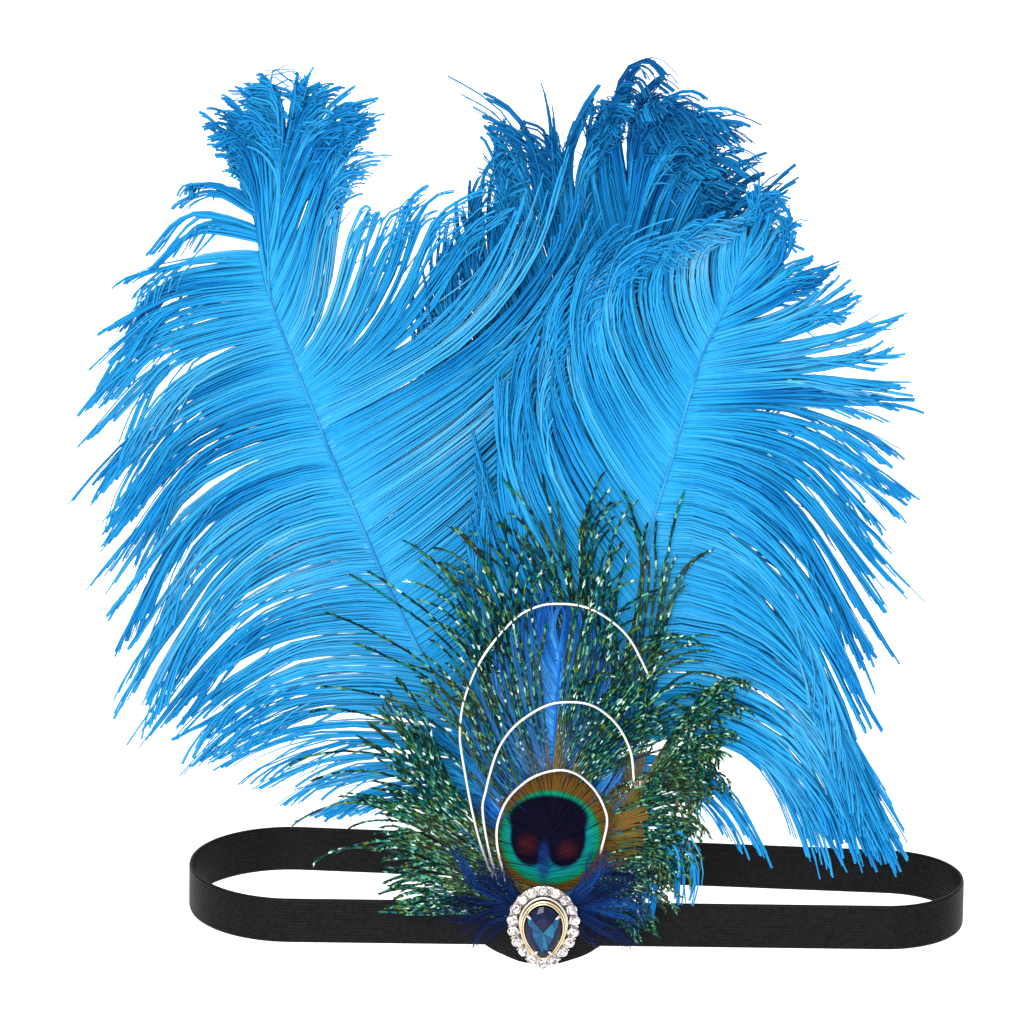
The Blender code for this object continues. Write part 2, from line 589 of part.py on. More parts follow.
def main():
    clear_scene()
    make_materials()
    headband = collection("feather_headband")
    tools = collection("brooch_tools")
    elastic_band(headband)
    felt_backing(headband)
    feather("ostrich_plume_middle", PLUME_MIDDLE, "azure_plume", headband, plain_quill(3.0, 1.0))
    feather("ostrich_plume_left", PLUME_LEFT, "azure_plume", headband, plain_quill(3.0, 1.0))
    feather("ostrich_plume_right", PLUME_RIGHT, "azure_plume", headband, plain_quill(3.0, 1.0))
    feather("peacock_feather_back", PEACOCK_BACK, "peacock_green", headband, plain_quill(2.0, 1.0), steps=7,
            parts=2)
    feather("peacock_feather_front", PEACOCK_FRONT, "peacock_green", headband, eye_quill, steps=9,
            split=0.2, tip_width=0.25)
    feather("blue_hackle_back", HACKLE, "royal_blue", headband, plain_quill(2.0, 0.8), steps=6, split=0.6,
            parts=2)
    feather("blue_tuft_left", TUFT_LEFT, "royal_blue", headband, plain_quill(2.0, 0.8), steps=4,
            foot=(2.0, 1))
    feather("blue_tuft_right", TUFT_RIGHT, "royal_blue", headband, plain_quill(2.0, 0.8), steps=4,
            foot=(2.0, 1))
    for which in WIRES:
        curled_wire(which, headband)
    brooch_setting(headband, tools)
    pear_stone(headband)
    halo_stones(headband)


main()
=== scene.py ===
"""Feather headband: the plumes, peacock fan, wires, brooch and elastic as they look.

Lengths in the tables are millimetres, as in the part's source, and turn to metres where points are
made and where the feather trees get their inputs. The camera looks along +Y from a little above, +X is
to the right and +Z up.
"""
import math

import bmesh
import bpy
import numpy as np
from mathutils import Matrix, Vector


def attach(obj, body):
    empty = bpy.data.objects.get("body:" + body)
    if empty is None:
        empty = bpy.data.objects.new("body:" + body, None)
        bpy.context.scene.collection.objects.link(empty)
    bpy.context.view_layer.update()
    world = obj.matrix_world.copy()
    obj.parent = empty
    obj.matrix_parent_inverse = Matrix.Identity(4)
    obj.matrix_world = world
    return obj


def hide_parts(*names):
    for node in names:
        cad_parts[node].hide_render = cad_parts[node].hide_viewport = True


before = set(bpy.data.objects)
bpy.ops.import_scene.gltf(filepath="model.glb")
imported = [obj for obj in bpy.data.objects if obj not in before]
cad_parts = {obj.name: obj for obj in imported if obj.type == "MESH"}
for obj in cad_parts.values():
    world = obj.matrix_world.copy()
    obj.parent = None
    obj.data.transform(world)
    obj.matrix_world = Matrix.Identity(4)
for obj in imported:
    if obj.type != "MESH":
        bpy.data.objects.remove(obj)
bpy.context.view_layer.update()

MM = 0.001

# Camera at the photograph's angle: a long lens, a little above, turned by a hair
CAMERA_TARGET = (-21.0, -27.0, 133.0)
CAMERA_DISTANCE = 3413.3
CAMERA_ELEVATION = 19.0
CAMERA_ROLL = 0.7
CAMERA_LENS = 400.0

FLOOR_Z = -150.0

# In metres and watts: the floor, the white surroundings and the square lamps as
# (name, place, aim, size, power)
FLOOR_HALF_SIDE = 6.0
SURROUNDINGS = 0.75
LAMPS = (("front", (-0.4, -3.0, 1.35), (0, 0, 0.1), 1.6, 92.0),
         ("left", (-1.8, -0.9, 1.2), (0, 0, 0.1), 1.0, 10.0),
         ("floor", (0.1, 1.3, 1.7), (0, 1.0, -0.1), 1.6, 44.0))

# Where the ornament stands, and its layers from the band outwards:
# (name, thickness at the foot, thickness higher up)
ORNAMENT_X = -10.0
FACE_Y = -25.1
LAYER_GAP = 0.7
LAYERS = (
    ("plume_middle", 1.2, 6.0),
    ("plume_left", 1.2, 6.5),
    ("plume_right", 1.2, 6.5),
    ("peacock_back", 0.7, 1.5),
    ("hackle", 0.6, 1.2),
    ("peacock_front", 0.9, 1.6),
    ("wire_outer", 0.9, 0.9),
    ("wire_middle", 0.9, 0.9),
    ("wire_inner", 0.9, 0.9),
    ("tuft", 1.0, 1.4),
)
GROW_FROM, GROW_OVER = 5.0, 85.0
LEAN, LEAN_FROM, LEAN_ROUNDING = 0.18, 40.0, 25.0
CREST_CURL, CREST_FROM, CREST_OVER = 20.0, 200.0, 90.0
SIDE_CURL, SIDE_FROM, SIDE_OVER = 10.0, 45.0, 100.0

# Feathers: quill points (x, z) from foot to tip, and vanes (side, density, rows), side 1 to the left
# of the quill and -1 to its right. A row is a barb: (share of the quill, length, then its direction in
# degrees from +X at the quill, at a third, at two thirds and at its tip)
PLUME_LEFT = {
    "layer": "plume_left",
    "quill": ((-11, 7), (-15, 19), (-22, 37), (-33, 60), (-41, 77), (-50, 93), (-59, 111), (-67, 129),
              (-76, 150), (-83, 167), (-89, 182), (-94, 194), (-95, 205), (-95, 215), (-93, 227), (-91, 239)),
    "vanes": (
        (1, 0.45, ((0.13, 46, 170, 176, 180, 182), (0.18, 60, 166, 175, 180, 184),
            (0.245, 76, 164, 176, 181, 188))),
        (1, 1.0, ((0.25, 86, 164, 178, 184, 196), (0.29, 88, 164, 181, 188, 208),
            (0.35, 86, 168, 184, 199, 222), (0.41, 84, 172, 188, 210, 232),
            (0.47, 86, 176, 202, 220, 230), (0.53, 86, 180, 211, 229, 233),
            (0.59, 88, 183, 208, 234, 235), (0.65, 82, 182, 202, 227, 230),
            (0.71, 75, 182, 203, 218, 227), (0.77, 65, 186, 201, 207, 216),
            (0.82, 56, 184, 187, 198, 206), (0.86, 50, 181, 180, 192, 204),
            (0.88, 46, 176, 179, 186, 198))),
        (1, 0.5, ((0.89, 42, 160, 172, 182, 192), (0.905, 40, 146, 160, 178, 186))),
        (1, 0.9, ((0.915, 41, 146, 150, 166, 188), (0.93, 38, 140, 144, 160, 184))),
        (1, 2.8, ((0.80, 76, 106, 95, 102, 136), (0.85, 70, 101, 93, 104, 138),
            (0.90, 62, 96, 91, 105, 140), (0.95, 52, 92, 90, 103, 138), (1.0, 40, 87, 88, 97, 132))),
        (-1, 2.8, ((0.78, 85, 64, 80, 80, 52), (0.83, 80, 62, 73, 74, 44), (0.88, 70, 64, 69, 74, 40),
            (0.94, 53, 70, 72, 78, 50), (1.0, 39, 78, 80, 88, 80))),
        (-1, 1.4, ((0.84, 70, 74, 86, 96, 130), (0.92, 56, 78, 88, 98, 134), (1.0, 41, 84, 90, 96, 130))),
        (-1, 0.8, ((0.69, 98, 24, 38, 72, 54), (0.70, 92, 30, 52, 84, 50), (0.715, 86, 38, 66, 90, 46),
            (0.735, 82, 48, 78, 90, 30), (0.755, 78, 56, 84, 86, 30), (0.78, 77, 62, 84, 82, 36),
            (0.80, 76, 66, 82, 80, 40))),
        (-1, 1.0, ((0.04, 36, 20, 30, 50, 66), (0.14, 62, 26, 40, 58, 72), (0.24, 84, 30, 44, 60, 74),
            (0.34, 98, 32, 46, 60, 74), (0.43, 108, 34, 46, 60, 72), (0.51, 116, 34, 42, 58, 70),
            (0.58, 120, 31, 36, 58, 68), (0.63, 122, 27, 32, 57, 78), (0.67, 120, 24, 32, 58, 80),
            (0.70, 110, 22, 34, 62, 70))),
    ),
}
PLUME_RIGHT = {
    "layer": "plume_right",
    "quill": ((-9, 8), (-6, 20), (-1, 44), (6, 71), (13, 93), (18, 112), (22, 135), (26, 148),
              (31, 167), (35, 181), (39, 190), (43, 198), (46, 207), (48, 216)),
    "vanes": (
        (-1, 0.24, ((0.10, 42, 10, -12, -46, -76), (0.16, 60, 14, -8, -42, -80))),
        (-1, 0.5, ((0.19, 72, 16, -6, -44, -72), (0.23, 84, 18, -4, -44, -62))),
        (-1, 1.7, ((0.25, 92, 20, -4, -44, -62), (0.31, 106, 19, -10, -50, -66),
            (0.36, 115, 19, -17, -58, -68), (0.42, 122, 17, -26, -63, -66),
            (0.48, 121, 12, -38, -65, -66), (0.54, 108, 11, -42, -66, -68))),
        (-1, 1.1, ((0.54, 108, 11, -42, -66, -68), (0.60, 94, 8, -38, -62, -62),
            (0.65, 84, 4, -34, -57, -56), (0.69, 78, 2, -26, -52, -50), (0.715, 74, 3, -16, -40, -34),
            (0.735, 70, 4, -6, -24, -22), (0.755, 66, 6, 2, -4, -6), (0.775, 66, 6, 4, 4, 14),
            (0.80, 64, 8, 8, 12, 36), (0.83, 58, 14, 12, 22, 42), (0.86, 49, 22, 20, 32, 50),
            (0.89, 42, 32, 32, 42, 62), (0.92, 36, 44, 42, 54, 76), (0.95, 30, 56, 54, 62, 92),
            (1.0, 23, 70, 68, 84, 120))),
        (1, 1.0, ((0.05, 40, 160, 150, 140, 130), (0.14, 60, 150, 138, 124, 110),
            (0.26, 86, 138, 128, 112, 96), (0.38, 104, 132, 122, 106, 88), (0.48, 110, 129, 120, 98, 70),
            (0.57, 108, 128, 120, 92, 60), (0.65, 102, 130, 118, 84, 48), (0.71, 90, 132, 116, 76, 40),
            (0.77, 76, 132, 108, 66, 34), (0.83, 60, 128, 102, 58, 32), (0.89, 44, 118, 92, 60, 36),
            (0.95, 32, 104, 82, 64, 44), (1.0, 26, 92, 76, 60, 50))),
    ),
}
PLUME_MIDDLE = {
    "layer": "plume_middle",
    "quill": ((-10, 7), (-9, 21), (-9, 54), (-7, 91), (-3, 127), (1, 157), (6, 187), (11, 211), (13, 224)),
    "vanes": (
        (1, 0.5, ((0.20, 64, 150, 138, 126, 112), (0.32, 92, 148, 132, 116, 100),
            (0.44, 104, 140, 124, 106, 94))),
        (1, 1.8, ((0.44, 112, 140, 126, 108, 94), (0.56, 116, 134, 120, 104, 84),
            (0.66, 114, 128, 113, 98, 66), (0.74, 106, 123, 107, 92, 130), (0.80, 92, 116, 101, 92, 126),
            (0.835, 78, 114, 101, 90, 60), (0.87, 79, 112, 100, 88, 44), (0.93, 76, 106, 99, 82, 16),
            (1.0, 66, 100, 97, 74, -10))),
        (-1, 0.3, ((0.30, 80, 30, 20, 0, -30), (0.46, 86, 34, 30, 26, 16), (0.56, 92, 38, 40, 50, 74))),
        (-1, 3.0, ((0.58, 106, 36, 40, 60, 96), (0.64, 110, 38, 47, 78, 60), (0.70, 110, 41, 58, 84, 36),
            (0.76, 104, 46, 68, 80, 10), (0.82, 96, 54, 76, 74, -10), (0.88, 84, 64, 82, 66, -20),
            (0.94, 72, 76, 86, 60, -20), (1.0, 62, 92, 92, 62, -16))),
    ),
}
PEACOCK_FRONT = {
    "layer": "peacock_front",
    "quill": ((-10, 9), (-9, 14), (-9, 19), (-9, 24), (-8, 29), (-8, 34), (-8, 39), (-8, 44), (-8, 49),
              (-8, 57)),
    "vanes": (
        (1, 1.6, ((0.0, 42, 196, 188, 182, 186), (0.06, 52, 184, 176, 172, 182),
            (0.12, 60, 172, 164, 158, 170), (0.20, 68, 162, 150, 142, 158),
            (0.27, 76, 160, 138, 122, 134), (0.33, 86, 158, 126, 106, 120))),
        (1, 0.045, ((0.42, 66, 138, 126, 120, 150), (0.56, 68, 130, 118, 112, 140),
            (0.72, 64, 118, 108, 104, 132), (0.86, 58, 106, 100, 96, 122), (1.0, 54, 96, 93, 90, 60))),
        (1, 0.06, ((0.46, 88, 136, 124, 118, 168), (0.60, 94, 126, 114, 110, 160),
            (0.74, 98, 115, 106, 100, 150), (0.86, 96, 105, 99, 94, 50), (1.0, 92, 96, 92, 88, 40))),
        (1, 0.04, ((0.04, 104, 172, 160, 176, 236), (0.1, 82, 160, 150, 176, 240),
            (0.3, 108, 134, 136, 168, 206), (0.6, 120, 108, 118, 136, 146),
            (0.7, 112, 104, 114, 130, 150))),
        (-1, 0.12, ((0.0, 34, -24, -20, -26, -36), (0.12, 48, 10, 4, -8, -26), (0.28, 62, 36, 25, 5, -14),
            (0.46, 74, 50, 40, 18, -4), (0.56, 78, 58, 48, 26, 0))),
        (-1, 0.14, ((0.60, 60, 56, 46, 32, 4), (0.72, 62, 64, 56, 46, 14), (0.86, 58, 76, 70, 62, 30),
            (1.0, 54, 86, 84, 80, 44))),
        (-1, 0.6, ((0.56, 74, 58, 46, 26, -14), (0.64, 82, 62, 53, 38, -12), (0.70, 86, 66, 60, 48, -4),
            (0.78, 88, 71, 67, 60, 14))),
        (-1, 0.14, ((0.80, 90, 72, 68, 66, 30), (0.88, 92, 78, 76, 76, 30), (1.0, 92, 86, 85, 84, 130))),
    ),
}
PEACOCK_BACK = {
    "layer": "peacock_back",
    "quill": ((-5, 9), (1, 21), (8, 33), (14, 42), (19, 51)),
    "vanes": (
        (1, 0.7, ((0.3, 84, 138, 130, 124, 146), (0.6, 86, 128, 121, 115, 140),
            (0.8, 80, 116, 111, 106, 122), (1.0, 72, 102, 98, 94, 60))),
        (1, 1.0, ((0.3, 129, 121, 115, 111, 160), (0.5, 130, 115, 110, 106, 150),
            (0.7, 124, 110, 105, 101, 140), (0.85, 117, 106, 101, 97, 50), (1.0, 109, 101, 96, 92, 40))),
        (-1, 0.7, ((0.8, 104, 92, 90, 88, 40), (0.9, 104, 88, 88, 88, 130), (1.0, 98, 84, 81, 76, 20))),
        (-1, 4.0, ((0.0, 30, -4, -20, -34, -44), (0.12, 37, 8, -8, -26, -44), (0.28, 40, 22, 4, -18, -40),
            (0.45, 41, 34, 16, -8, -38), (0.6, 41, 44, 28, 2, -34), (0.75, 41, 52, 38, 14, -26),
            (0.88, 42, 58, 46, 26, -10))),
        (-1, 3.4, ((0.62, 44, 50, 34, 10, -30), (0.74, 50, 56, 44, 20, -24), (0.86, 57, 62, 54, 32, -16),
            (1.0, 64, 68, 62, 46, 0))),
    ),
}
HACKLE = {
    "layer": "hackle",
    "quill": ((-10, 9), (-9, 24), (-8, 53), (-7, 79), (-6, 95)),
    "vanes": (
        (1, 1.0, ((0.0, 20, 164, 154, 144, 134), (0.2, 34, 158, 144, 130, 116),
            (0.4, 40, 152, 138, 120, 104), (0.6, 40, 148, 132, 112, 92), (0.78, 36, 140, 122, 100, 80),
            (0.9, 29, 126, 106, 88, 74), (1.0, 17, 104, 96, 86, 76))),
        (-1, 1.0, ((0.0, 20, 16, 26, 36, 46), (0.2, 34, 24, 38, 52, 64), (0.4, 39, 30, 44, 62, 78),
            (0.6, 38, 34, 50, 70, 88), (0.78, 34, 42, 60, 80, 98), (0.9, 27, 56, 74, 90, 104),
            (1.0, 16, 78, 86, 94, 102))),
    ),
}
TUFT_LEFT = {
    "layer": "tuft",
    "quill": ((-13, 11), (-18, 12), (-23, 13)),
    "vanes": (
        (1, 1.0, ((0.0, 20, 215, 225, 230, 235), (0.3, 21, 198, 203, 208, 212),
            (0.6, 22, 184, 189, 192, 194), (1.0, 21, 172, 170, 168, 166))),
        (-1, 1.0, ((0.0, 18, 134, 126, 120, 116), (0.3, 23, 134, 126, 120, 114),
            (0.6, 24, 140, 132, 128, 124), (1.0, 22, 152, 146, 142, 140))),
    ),
}
TUFT_RIGHT = {
    "layer": "tuft",
    "quill": ((-6, 11), (-1, 12), (5, 14)),
    "vanes": (
        (1, 1.0, ((0.0, 21, 50, 58, 64, 70), (0.3, 24, 42, 50, 56, 60), (0.6, 24, 30, 38, 44, 48),
            (1.0, 19, 14, 20, 25, 28))),
        (-1, 1.0, ((0.0, 18, -32, -42, -48, -54), (0.3, 22, -18, -26, -32, -36),
            (0.6, 23, -6, -12, -16, -18), (1.0, 19, 6, 3, 2, 0))),
    ),
}

# Curled wires: (x, z) along each
WIRE_DIAMETER = 0.9
WIRE_STEPS = 8
WIRES = {
    "inner": ((-13.0, 10.0), (-19.6, 12.7), (-22.7, 24.4), (-24.3, 32.9), (-24.1, 40.8), (-21.2, 49.1),
              (-16.1, 55.1), (-10.8, 58.3), (-5.1, 59.4), (-0.2, 57.8), (4.6, 53.0), (7.7, 46.7),
              (8.7, 40.6), (6.8, 29.7)),
    "middle": ((-13.0, 10.0), (-20.8, 13.4), (-25.8, 25.9), (-28.7, 43.4), (-27.8, 51.6), (-25.2, 63.0),
               (-21.7, 70.4), (-16.4, 76.0), (-9.5, 80.2), (-3.0, 81.2), (3.1, 80.4), (8.2, 77.3),
               (12.5, 72.2), (15.6, 64.6), (16.6, 55.0)),
    "outer": ((-13.0, 10.0), (-22.2, 14.2), (-29.5, 32.3), (-34.8, 60.6), (-35.8, 72.3), (-34.1, 82.9),
              (-28.9, 94.5), (-20.3, 105.1), (-13.8, 109.1), (-7.5, 110.3), (0.9, 109.5), (8.1, 106.0),
              (14.8, 99.8), (20.9, 88.5)),
}

# The vane maps: map rows between two rows of a table, steps along a barb, reach past its tip, how wide
# one lock of barbs is where it spreads, and the turn in a barb's last third that makes a full hook
MAP_PARTS = 4
MAP_STEPS = 24
MAP_REACH = 1.3
LOCK_SIZE = 6.0
FULL_HOOK = 40.0

# The ground between two rows is measured at these steps along the barb: (step, weight)
SPAN_WEIGHTS = ((0, 0.3), (8, 0.35), (18, 0.35))

# How barbs lie on a vane and how they are made: broad ones below and fine ones on top. The names are
# the inputs of the trees that grow them, and those in LENGTHS are millimetres. A barb's points stand
# closer towards its tip by the power TIP_SPACING, and MARK_SPACING keeps lock and wisp numbers apart
LENGTHS = ("Droop", "Sway", "Frizz", "Curl", "Hook", "Thin", "Thick")
TIP_SPACING = 1.35
MARK_SPACING = 5000.0
PLUME_BLADES = {"Points": 8, "Lock pull": 0.12, "Wisp pull": 0.1, "Short": 0.6, "Long": 0.96, "Front": 0.5,
                "Sway": 10.0, "Frizz": 2.0, "Hook": 8.0, "Thin": 0.5, "Thick": 1.1, "Tip": 0.25, "Flat": 0.22}
PLUME_HAIRS = {"Points": 11, "Lock pull": 0.32, "Wisp pull": 0.75, "Short": 0.8, "Long": 1.04,
               "Stray": 0.07, "Back": 0.32, "Front": 0.8, "Sway": 12.0, "Frizz": 2.4, "Hook": 10.0,
               "Thin": 0.24, "Thick": 0.7, "Tip": 0.85, "Flat": 0.4}
SOFT_BLADES = {"Points": 8, "Lock pull": 0.15, "Wisp pull": 0.3, "Short": 0.6, "Long": 0.98, "Front": 0.5,
               "Sway": 3.0, "Frizz": 1.0, "Hook": 3.0, "Tip": 0.3, "Flat": 0.25}
SOFT_HAIRS = {"Points": 9, "Lock pull": 0.15, "Wisp pull": 0.3, "Short": 0.7, "Long": 1.08, "Back": 0.3,
              "Front": 1.2, "Hook": 3.0, "Thin": 0.12, "Thick": 0.3, "Tip": 0.4, "Flat": 0.5}
SOFT_SWAY, SOFT_FRIZZ = 8.0, 5.0
SOFT_LOCK_SIZE = 4.0
HERLS = {"Points": 14, "Wisps per lock": 2, "Lock pull": 0.12, "Wisp pull": 0.1, "Short": 0.72, "Long": 1.03,
         "Root": 0.3, "Back": 0.2, "Rise": 0.5, "Sway": 11.0, "Frizz": 4.0, "Hook": 7.0, "Late": 3.0,
         "Fold": 1.1}
HERL_LOCK_SIZE = 9.0
EYE_BARBS = {"Points": 8, "Lock pull": 0.1, "Wisp pull": 0.2, "Short": 0.9, "Long": 1.03, "Sway": 1.0,
             "Frizz": 0.6, "Thin": 0.24, "Thick": 0.42, "Tip": 0.7, "Flat": 0.35}
EYE_LOCK_SIZE = 3.0

# Steps along a quill
QUILL_STEPS = 40

# A herl's stem and the short barbules on both sides of it, and how many coloured dashes it has
HERL_STEM = 0.4
BARBULE_SPACING = 0.72
BARBULE_LENGTH = 1.5
BARBULE_GIRTH = 0.34
BARBULE_ANGLE = 18.0
HERL_DASHES = 60.0

# The two eyes: middle and half sizes of the barbs' outline, and the part of the quill that they grow
# from. The front eye's rings are painted round a middle of their own, and the ovals of its heart, lobes
# and notch are (offset from that middle, half sizes)
FRONT_EYE = ((-7.2, 36.0), (19.6, 21.4), (0.06, 0.66))
BACK_EYE = ((13.0, 38.0), (9.0, 15.0), (0.3, 0.9))
EYE_ROWS = 12
EYE_BEND = 14.0
EYE_MIDDLE = (-8.3, 34.2)
EYE_RINGS = ((0.0, 0.0), (15.4, 17.0))
EYE_HEART = (((-0.6, 6.6), (11.8, 8.2)), ((-5.6, 0.2), (6.2, 10.4)), ((4.2, 0.0), (6.4, 10.6)))
EYE_LOBES = (((-7.0, -3.0), (3.4, 4.4)), ((5.2, -4.6), (3.6, 4.0)))
EYE_NOTCH = ((-1.8, -9.0), (2.2, 8.4))

# Elastic band: the loop is drawn round two end circles, the left one larger
BAND_HEIGHT = 14.0
BAND_THICKNESS = 1.2
BAND_HALF_WIDTH = 118.0
BAND_FRONT_Y = -24.5
BAND_EDGE = 0.35
LEFT_END_RADIUS = 31.0
RIGHT_END_RADIUS = 24.0
BAND_ARC_STEPS = 44
BAND_STRAIGHT_STEPS = 34
BAND_RIBS = 13
RIB_STEPS = 4
RIB_DEPTH = 0.16

# Round felt behind the band, its edge as (share of the radius, share of half the thickness)
FELT_RADIUS = 28.0
FELT_THICKNESS = 2.0
FELT_CENTRE_Z = 14.2
FELT_PROFILE = ((1.0, 0.7), (0.995, 0.95), (0.98, 1.0), (0.7, 1.0), (0.35, 1.0), (0.02, 1.0))
FELT_SIDES = 96
SEAT_GAP = 0.3

# Pear brooch, depths measured from its back. Both pears are (half width, half height, narrowing)
BROOCH_CENTRE_Z = 6.6
BROOCH_BACK = 17.7
HALO_PEAR = (9.9, 11.8, 0.36)
STONE_PEAR = (5.8, 8.3, 0.55)
STONE_CENTRE_Z = -1.3
PEAR_STEPS = 720
HALO_STONES = 18
HALO_STONE_RADIUS = 1.6
HALO_GIRDLE = 2.4

# The setting: its base and the cups under the clear stones as (offset, depth), the prongs between two
# stones, the two gold rims as (offset, radius, depth), and a claw as (offset, depth, radius)
SETTING_STEPS = 108
SETTING_PROFILE = ((0.9, 0.0), (1.0, 0.2), (1.0, 0.5), (0.8, 0.7), (-1.7, 0.8), (-1.9, 1.6), (-2.0, 2.2),
                   (-2.2, 2.4), (-2.6, 2.4), (-2.8, 2.2), (-3.0, 1.0))
CUP_PROFILE = ((-0.6, 0.3), (-0.2, 1.4), (0.04, 2.1), (0.02, 2.35), (-0.12, 2.4), (-0.3, 1.9))
CUP_SIDES = 20
PRONG_RADIUS = 0.3
PRONG_STRETCH = 1.6
PRONG_OFFSET = 1.0
PRONG_RISE = 0.1
RIMS = ((0.55, 0.33, 2.5), (1.25, 0.36, 2.3))
RIM_STEPS = 96
CLAW_ANGLES = (50, 140, 220, 310)
CLAW = ((0.8, 1.2, 0.5), (0.8, 2.4, 0.5), (0.7, 3.4, 0.48), (0.3, 4.0, 0.46), (-0.4, 4.3, 0.5),
        (-1.0, 4.35, 0.3))

# The cut of the stones, ring by ring: (share of the outline, depth, sides). A clear stone's top ring is
# turned by half a side
HALO_CUT = ((0.15, -1.2, 16), (1.0, -0.1, 16), (1.0, 0.1, 16), (0.8, 0.5, 8), (0.5, 0.85, 8))
PEAR_CUT = ((0.25, 1.5, 32), (1.0, 2.9, 32), (1.0, 3.2, 32), (0.82, 4.0, 16), (0.6, 4.5, 16))
FACET_DRAWS = 400
HALO_SEED, PEAR_SEED = 8, 3

# Bright streak of painted reflection on each side of the pear stone: a place on it, its slope, half width and
# reach below and above it
REFLECTION_AT = (0.9, -3.0)
REFLECTION_SLOPE = 0.42
REFLECTION_HALF_WIDTH = 1.0
REFLECTION_FROM, REFLECTION_TO = -5.5, 4.5


def smoothstep(value):
    value = min(1.0, max(0.0, value))
    return value * value * (3 - 2 * value)


def lean_back(z):
    height = max(0.0, z - LEAN_FROM)
    return LEAN * (math.hypot(height, LEAN_ROUNDING) - LEAN_ROUNDING)


def curl_forward(x, z):
    crest = CREST_CURL * smoothstep((z - CREST_FROM) / CREST_OVER)
    side = SIDE_CURL * smoothstep((abs(x - ORNAMENT_X) - SIDE_FROM) / SIDE_OVER)
    return crest + side


def layer_depths(layer, z):
    """How far a layer's back and front stand before the band's face at this height."""
    near = LAYER_GAP
    growth = smoothstep((z - GROW_FROM) / GROW_OVER)
    for name, at_foot, higher in LAYERS:
        far = near + at_foot + (higher - at_foot) * growth
        if name == layer:
            return near, far
        near = far + LAYER_GAP


def layer_point(layer, x, z, share):
    """Point of a layer, share 0 at its back and 1 at its front."""
    near, far = layer_depths(layer, z)
    y = FACE_Y + lean_back(z) - curl_forward(x, z) - (near + (far - near) * share)
    return Vector((x, y, z)) * MM


def point_along(points, share):
    line = np.array(points, float)
    lengths = np.r_[0.0, np.cumsum(np.hypot(*np.diff(line, axis=0).T))]
    at = share * lengths[-1]
    return np.array([np.interp(at, lengths, line[:, 0]), np.interp(at, lengths, line[:, 1])])


def unit(angle):
    return np.array([math.cos(angle), math.sin(angle)])


def left_of(way):
    """The unit vector to the left of a way."""
    way = way / np.linalg.norm(way)
    return np.array([-way[1], way[0]])


# Vane maps

def barb_line(root, row):
    """Points of a barb from its root to a little past its tip, turning as its row says."""
    length, turns = row[1], row[2:]
    step = MAP_REACH / MAP_STEPS
    line = [np.array(root, float)]
    for k in range(MAP_STEPS):
        turn = np.interp((k + 0.5) * step, (0, 1 / 3, 2 / 3, 1), turns)
        line.append(line[-1] + unit(math.radians(turn)) * length * step)
    return line


def finer(rows, parts):
    """The rows with this many equal steps between two of them."""
    rows = np.array(rows, float)
    places = np.linspace(0, len(rows) - 1, (len(rows) - 1) * parts + 1)
    return [tuple(np.interp(at, range(len(rows)), column) for column in rows.T) for at in places]


def quill_edge(quill, share, side, half_width):
    way = point_along(quill, min(1.0, share + 0.02)) - point_along(quill, max(0.0, share - 0.02))
    return point_along(quill, share) + left_of(way) * side * half_width


def vane_map(design, half_width=0.1, lock_size=LOCK_SIZE):
    """Chart of a feather: a sheet with (place across the vanes, place along the barb) at each point.

    Returns the sheet and its number of locks. The place across grows with the ground that the barbs
    cover, times the vane's density, and each vane takes a whole number of locks.
    """
    layer, quill = design["layer"], design["quill"]
    vanes = []
    for side, density, table in design["vanes"]:
        rows = finer(table, MAP_PARTS)
        lines = [barb_line(quill_edge(quill, row[0], side, half_width), row) for row in rows]
        spans = [sum(weight * np.linalg.norm(b[k] - a[k]) for k, weight in SPAN_WEIGHTS)
                 for a, b in zip(lines, lines[1:])]
        covered = np.r_[0.0, np.cumsum(spans)]
        hooks = [max(-1.0, min(1.0, (row[5] - row[4]) / FULL_HOOK)) for row in rows]
        locks = max(1, round(covered[-1] * density / lock_size))
        vanes.append((lines, covered / covered[-1], hooks, locks))
    total = sum(vane[-1] for vane in vanes)
    points, faces, chart, deep, bend = [], [], [], [], []
    before = 0
    for lines, places, hooks, locks in vanes:
        first = len(points)
        for line, place, hook in zip(lines, places, hooks):
            for j, (x, z) in enumerate(line):
                near, far = layer_depths(layer, z)
                points.append(layer_point(layer, x, z, 0.0))
                chart.append(((before + place * locks) / total, j / MAP_STEPS, 0.0))
                deep.append((far - near) * MM)
                bend.append(hook)
        for k in range(len(lines) - 1):
            for j in range(MAP_STEPS):
                at = first + k * (MAP_STEPS + 1) + j
                faces.append((at, at + 1, at + MAP_STEPS + 2, at + MAP_STEPS + 1))
        before += locks
    mesh = bpy.data.meshes.new("vane_map")
    mesh.from_pydata(points, [], faces)
    for name, kind, part, values in (("chart", "FLOAT_VECTOR", "vector", chart),
                                     ("deep", "FLOAT", "value", deep), ("bend", "FLOAT", "value", bend)):
        attribute = mesh.attributes.new(name, kind, "POINT")
        attribute.data.foreach_set(part, np.array(values, np.float32).ravel())
    return mesh, total


# Node trees

class Field:
    """A node's output that is added, multiplied and raised like a number or a vector."""

    def __init__(self, net, socket):
        self.net = net
        self.socket = socket

    def _joined(self, operation, other, turned=False):
        pair = (other, self) if turned else (self, other)
        if self.socket.type != "VECTOR":
            return self.net.math(operation, *pair)
        if operation == "MULTIPLY":
            return self.net.scaled(self, other)
        return self.net.vector(operation, *pair)

    def __add__(self, other):
        return self._joined("ADD", other)

    __radd__ = __add__

    def __mul__(self, other):
        return self._joined("MULTIPLY", other)

    __rmul__ = __mul__

    def __sub__(self, other):
        return self._joined("SUBTRACT", other)

    def __rsub__(self, other):
        return self._joined("SUBTRACT", other, turned=True)

    def __truediv__(self, other):
        return self._joined("DIVIDE", other)

    def __pow__(self, other):
        return self._joined("POWER", other)


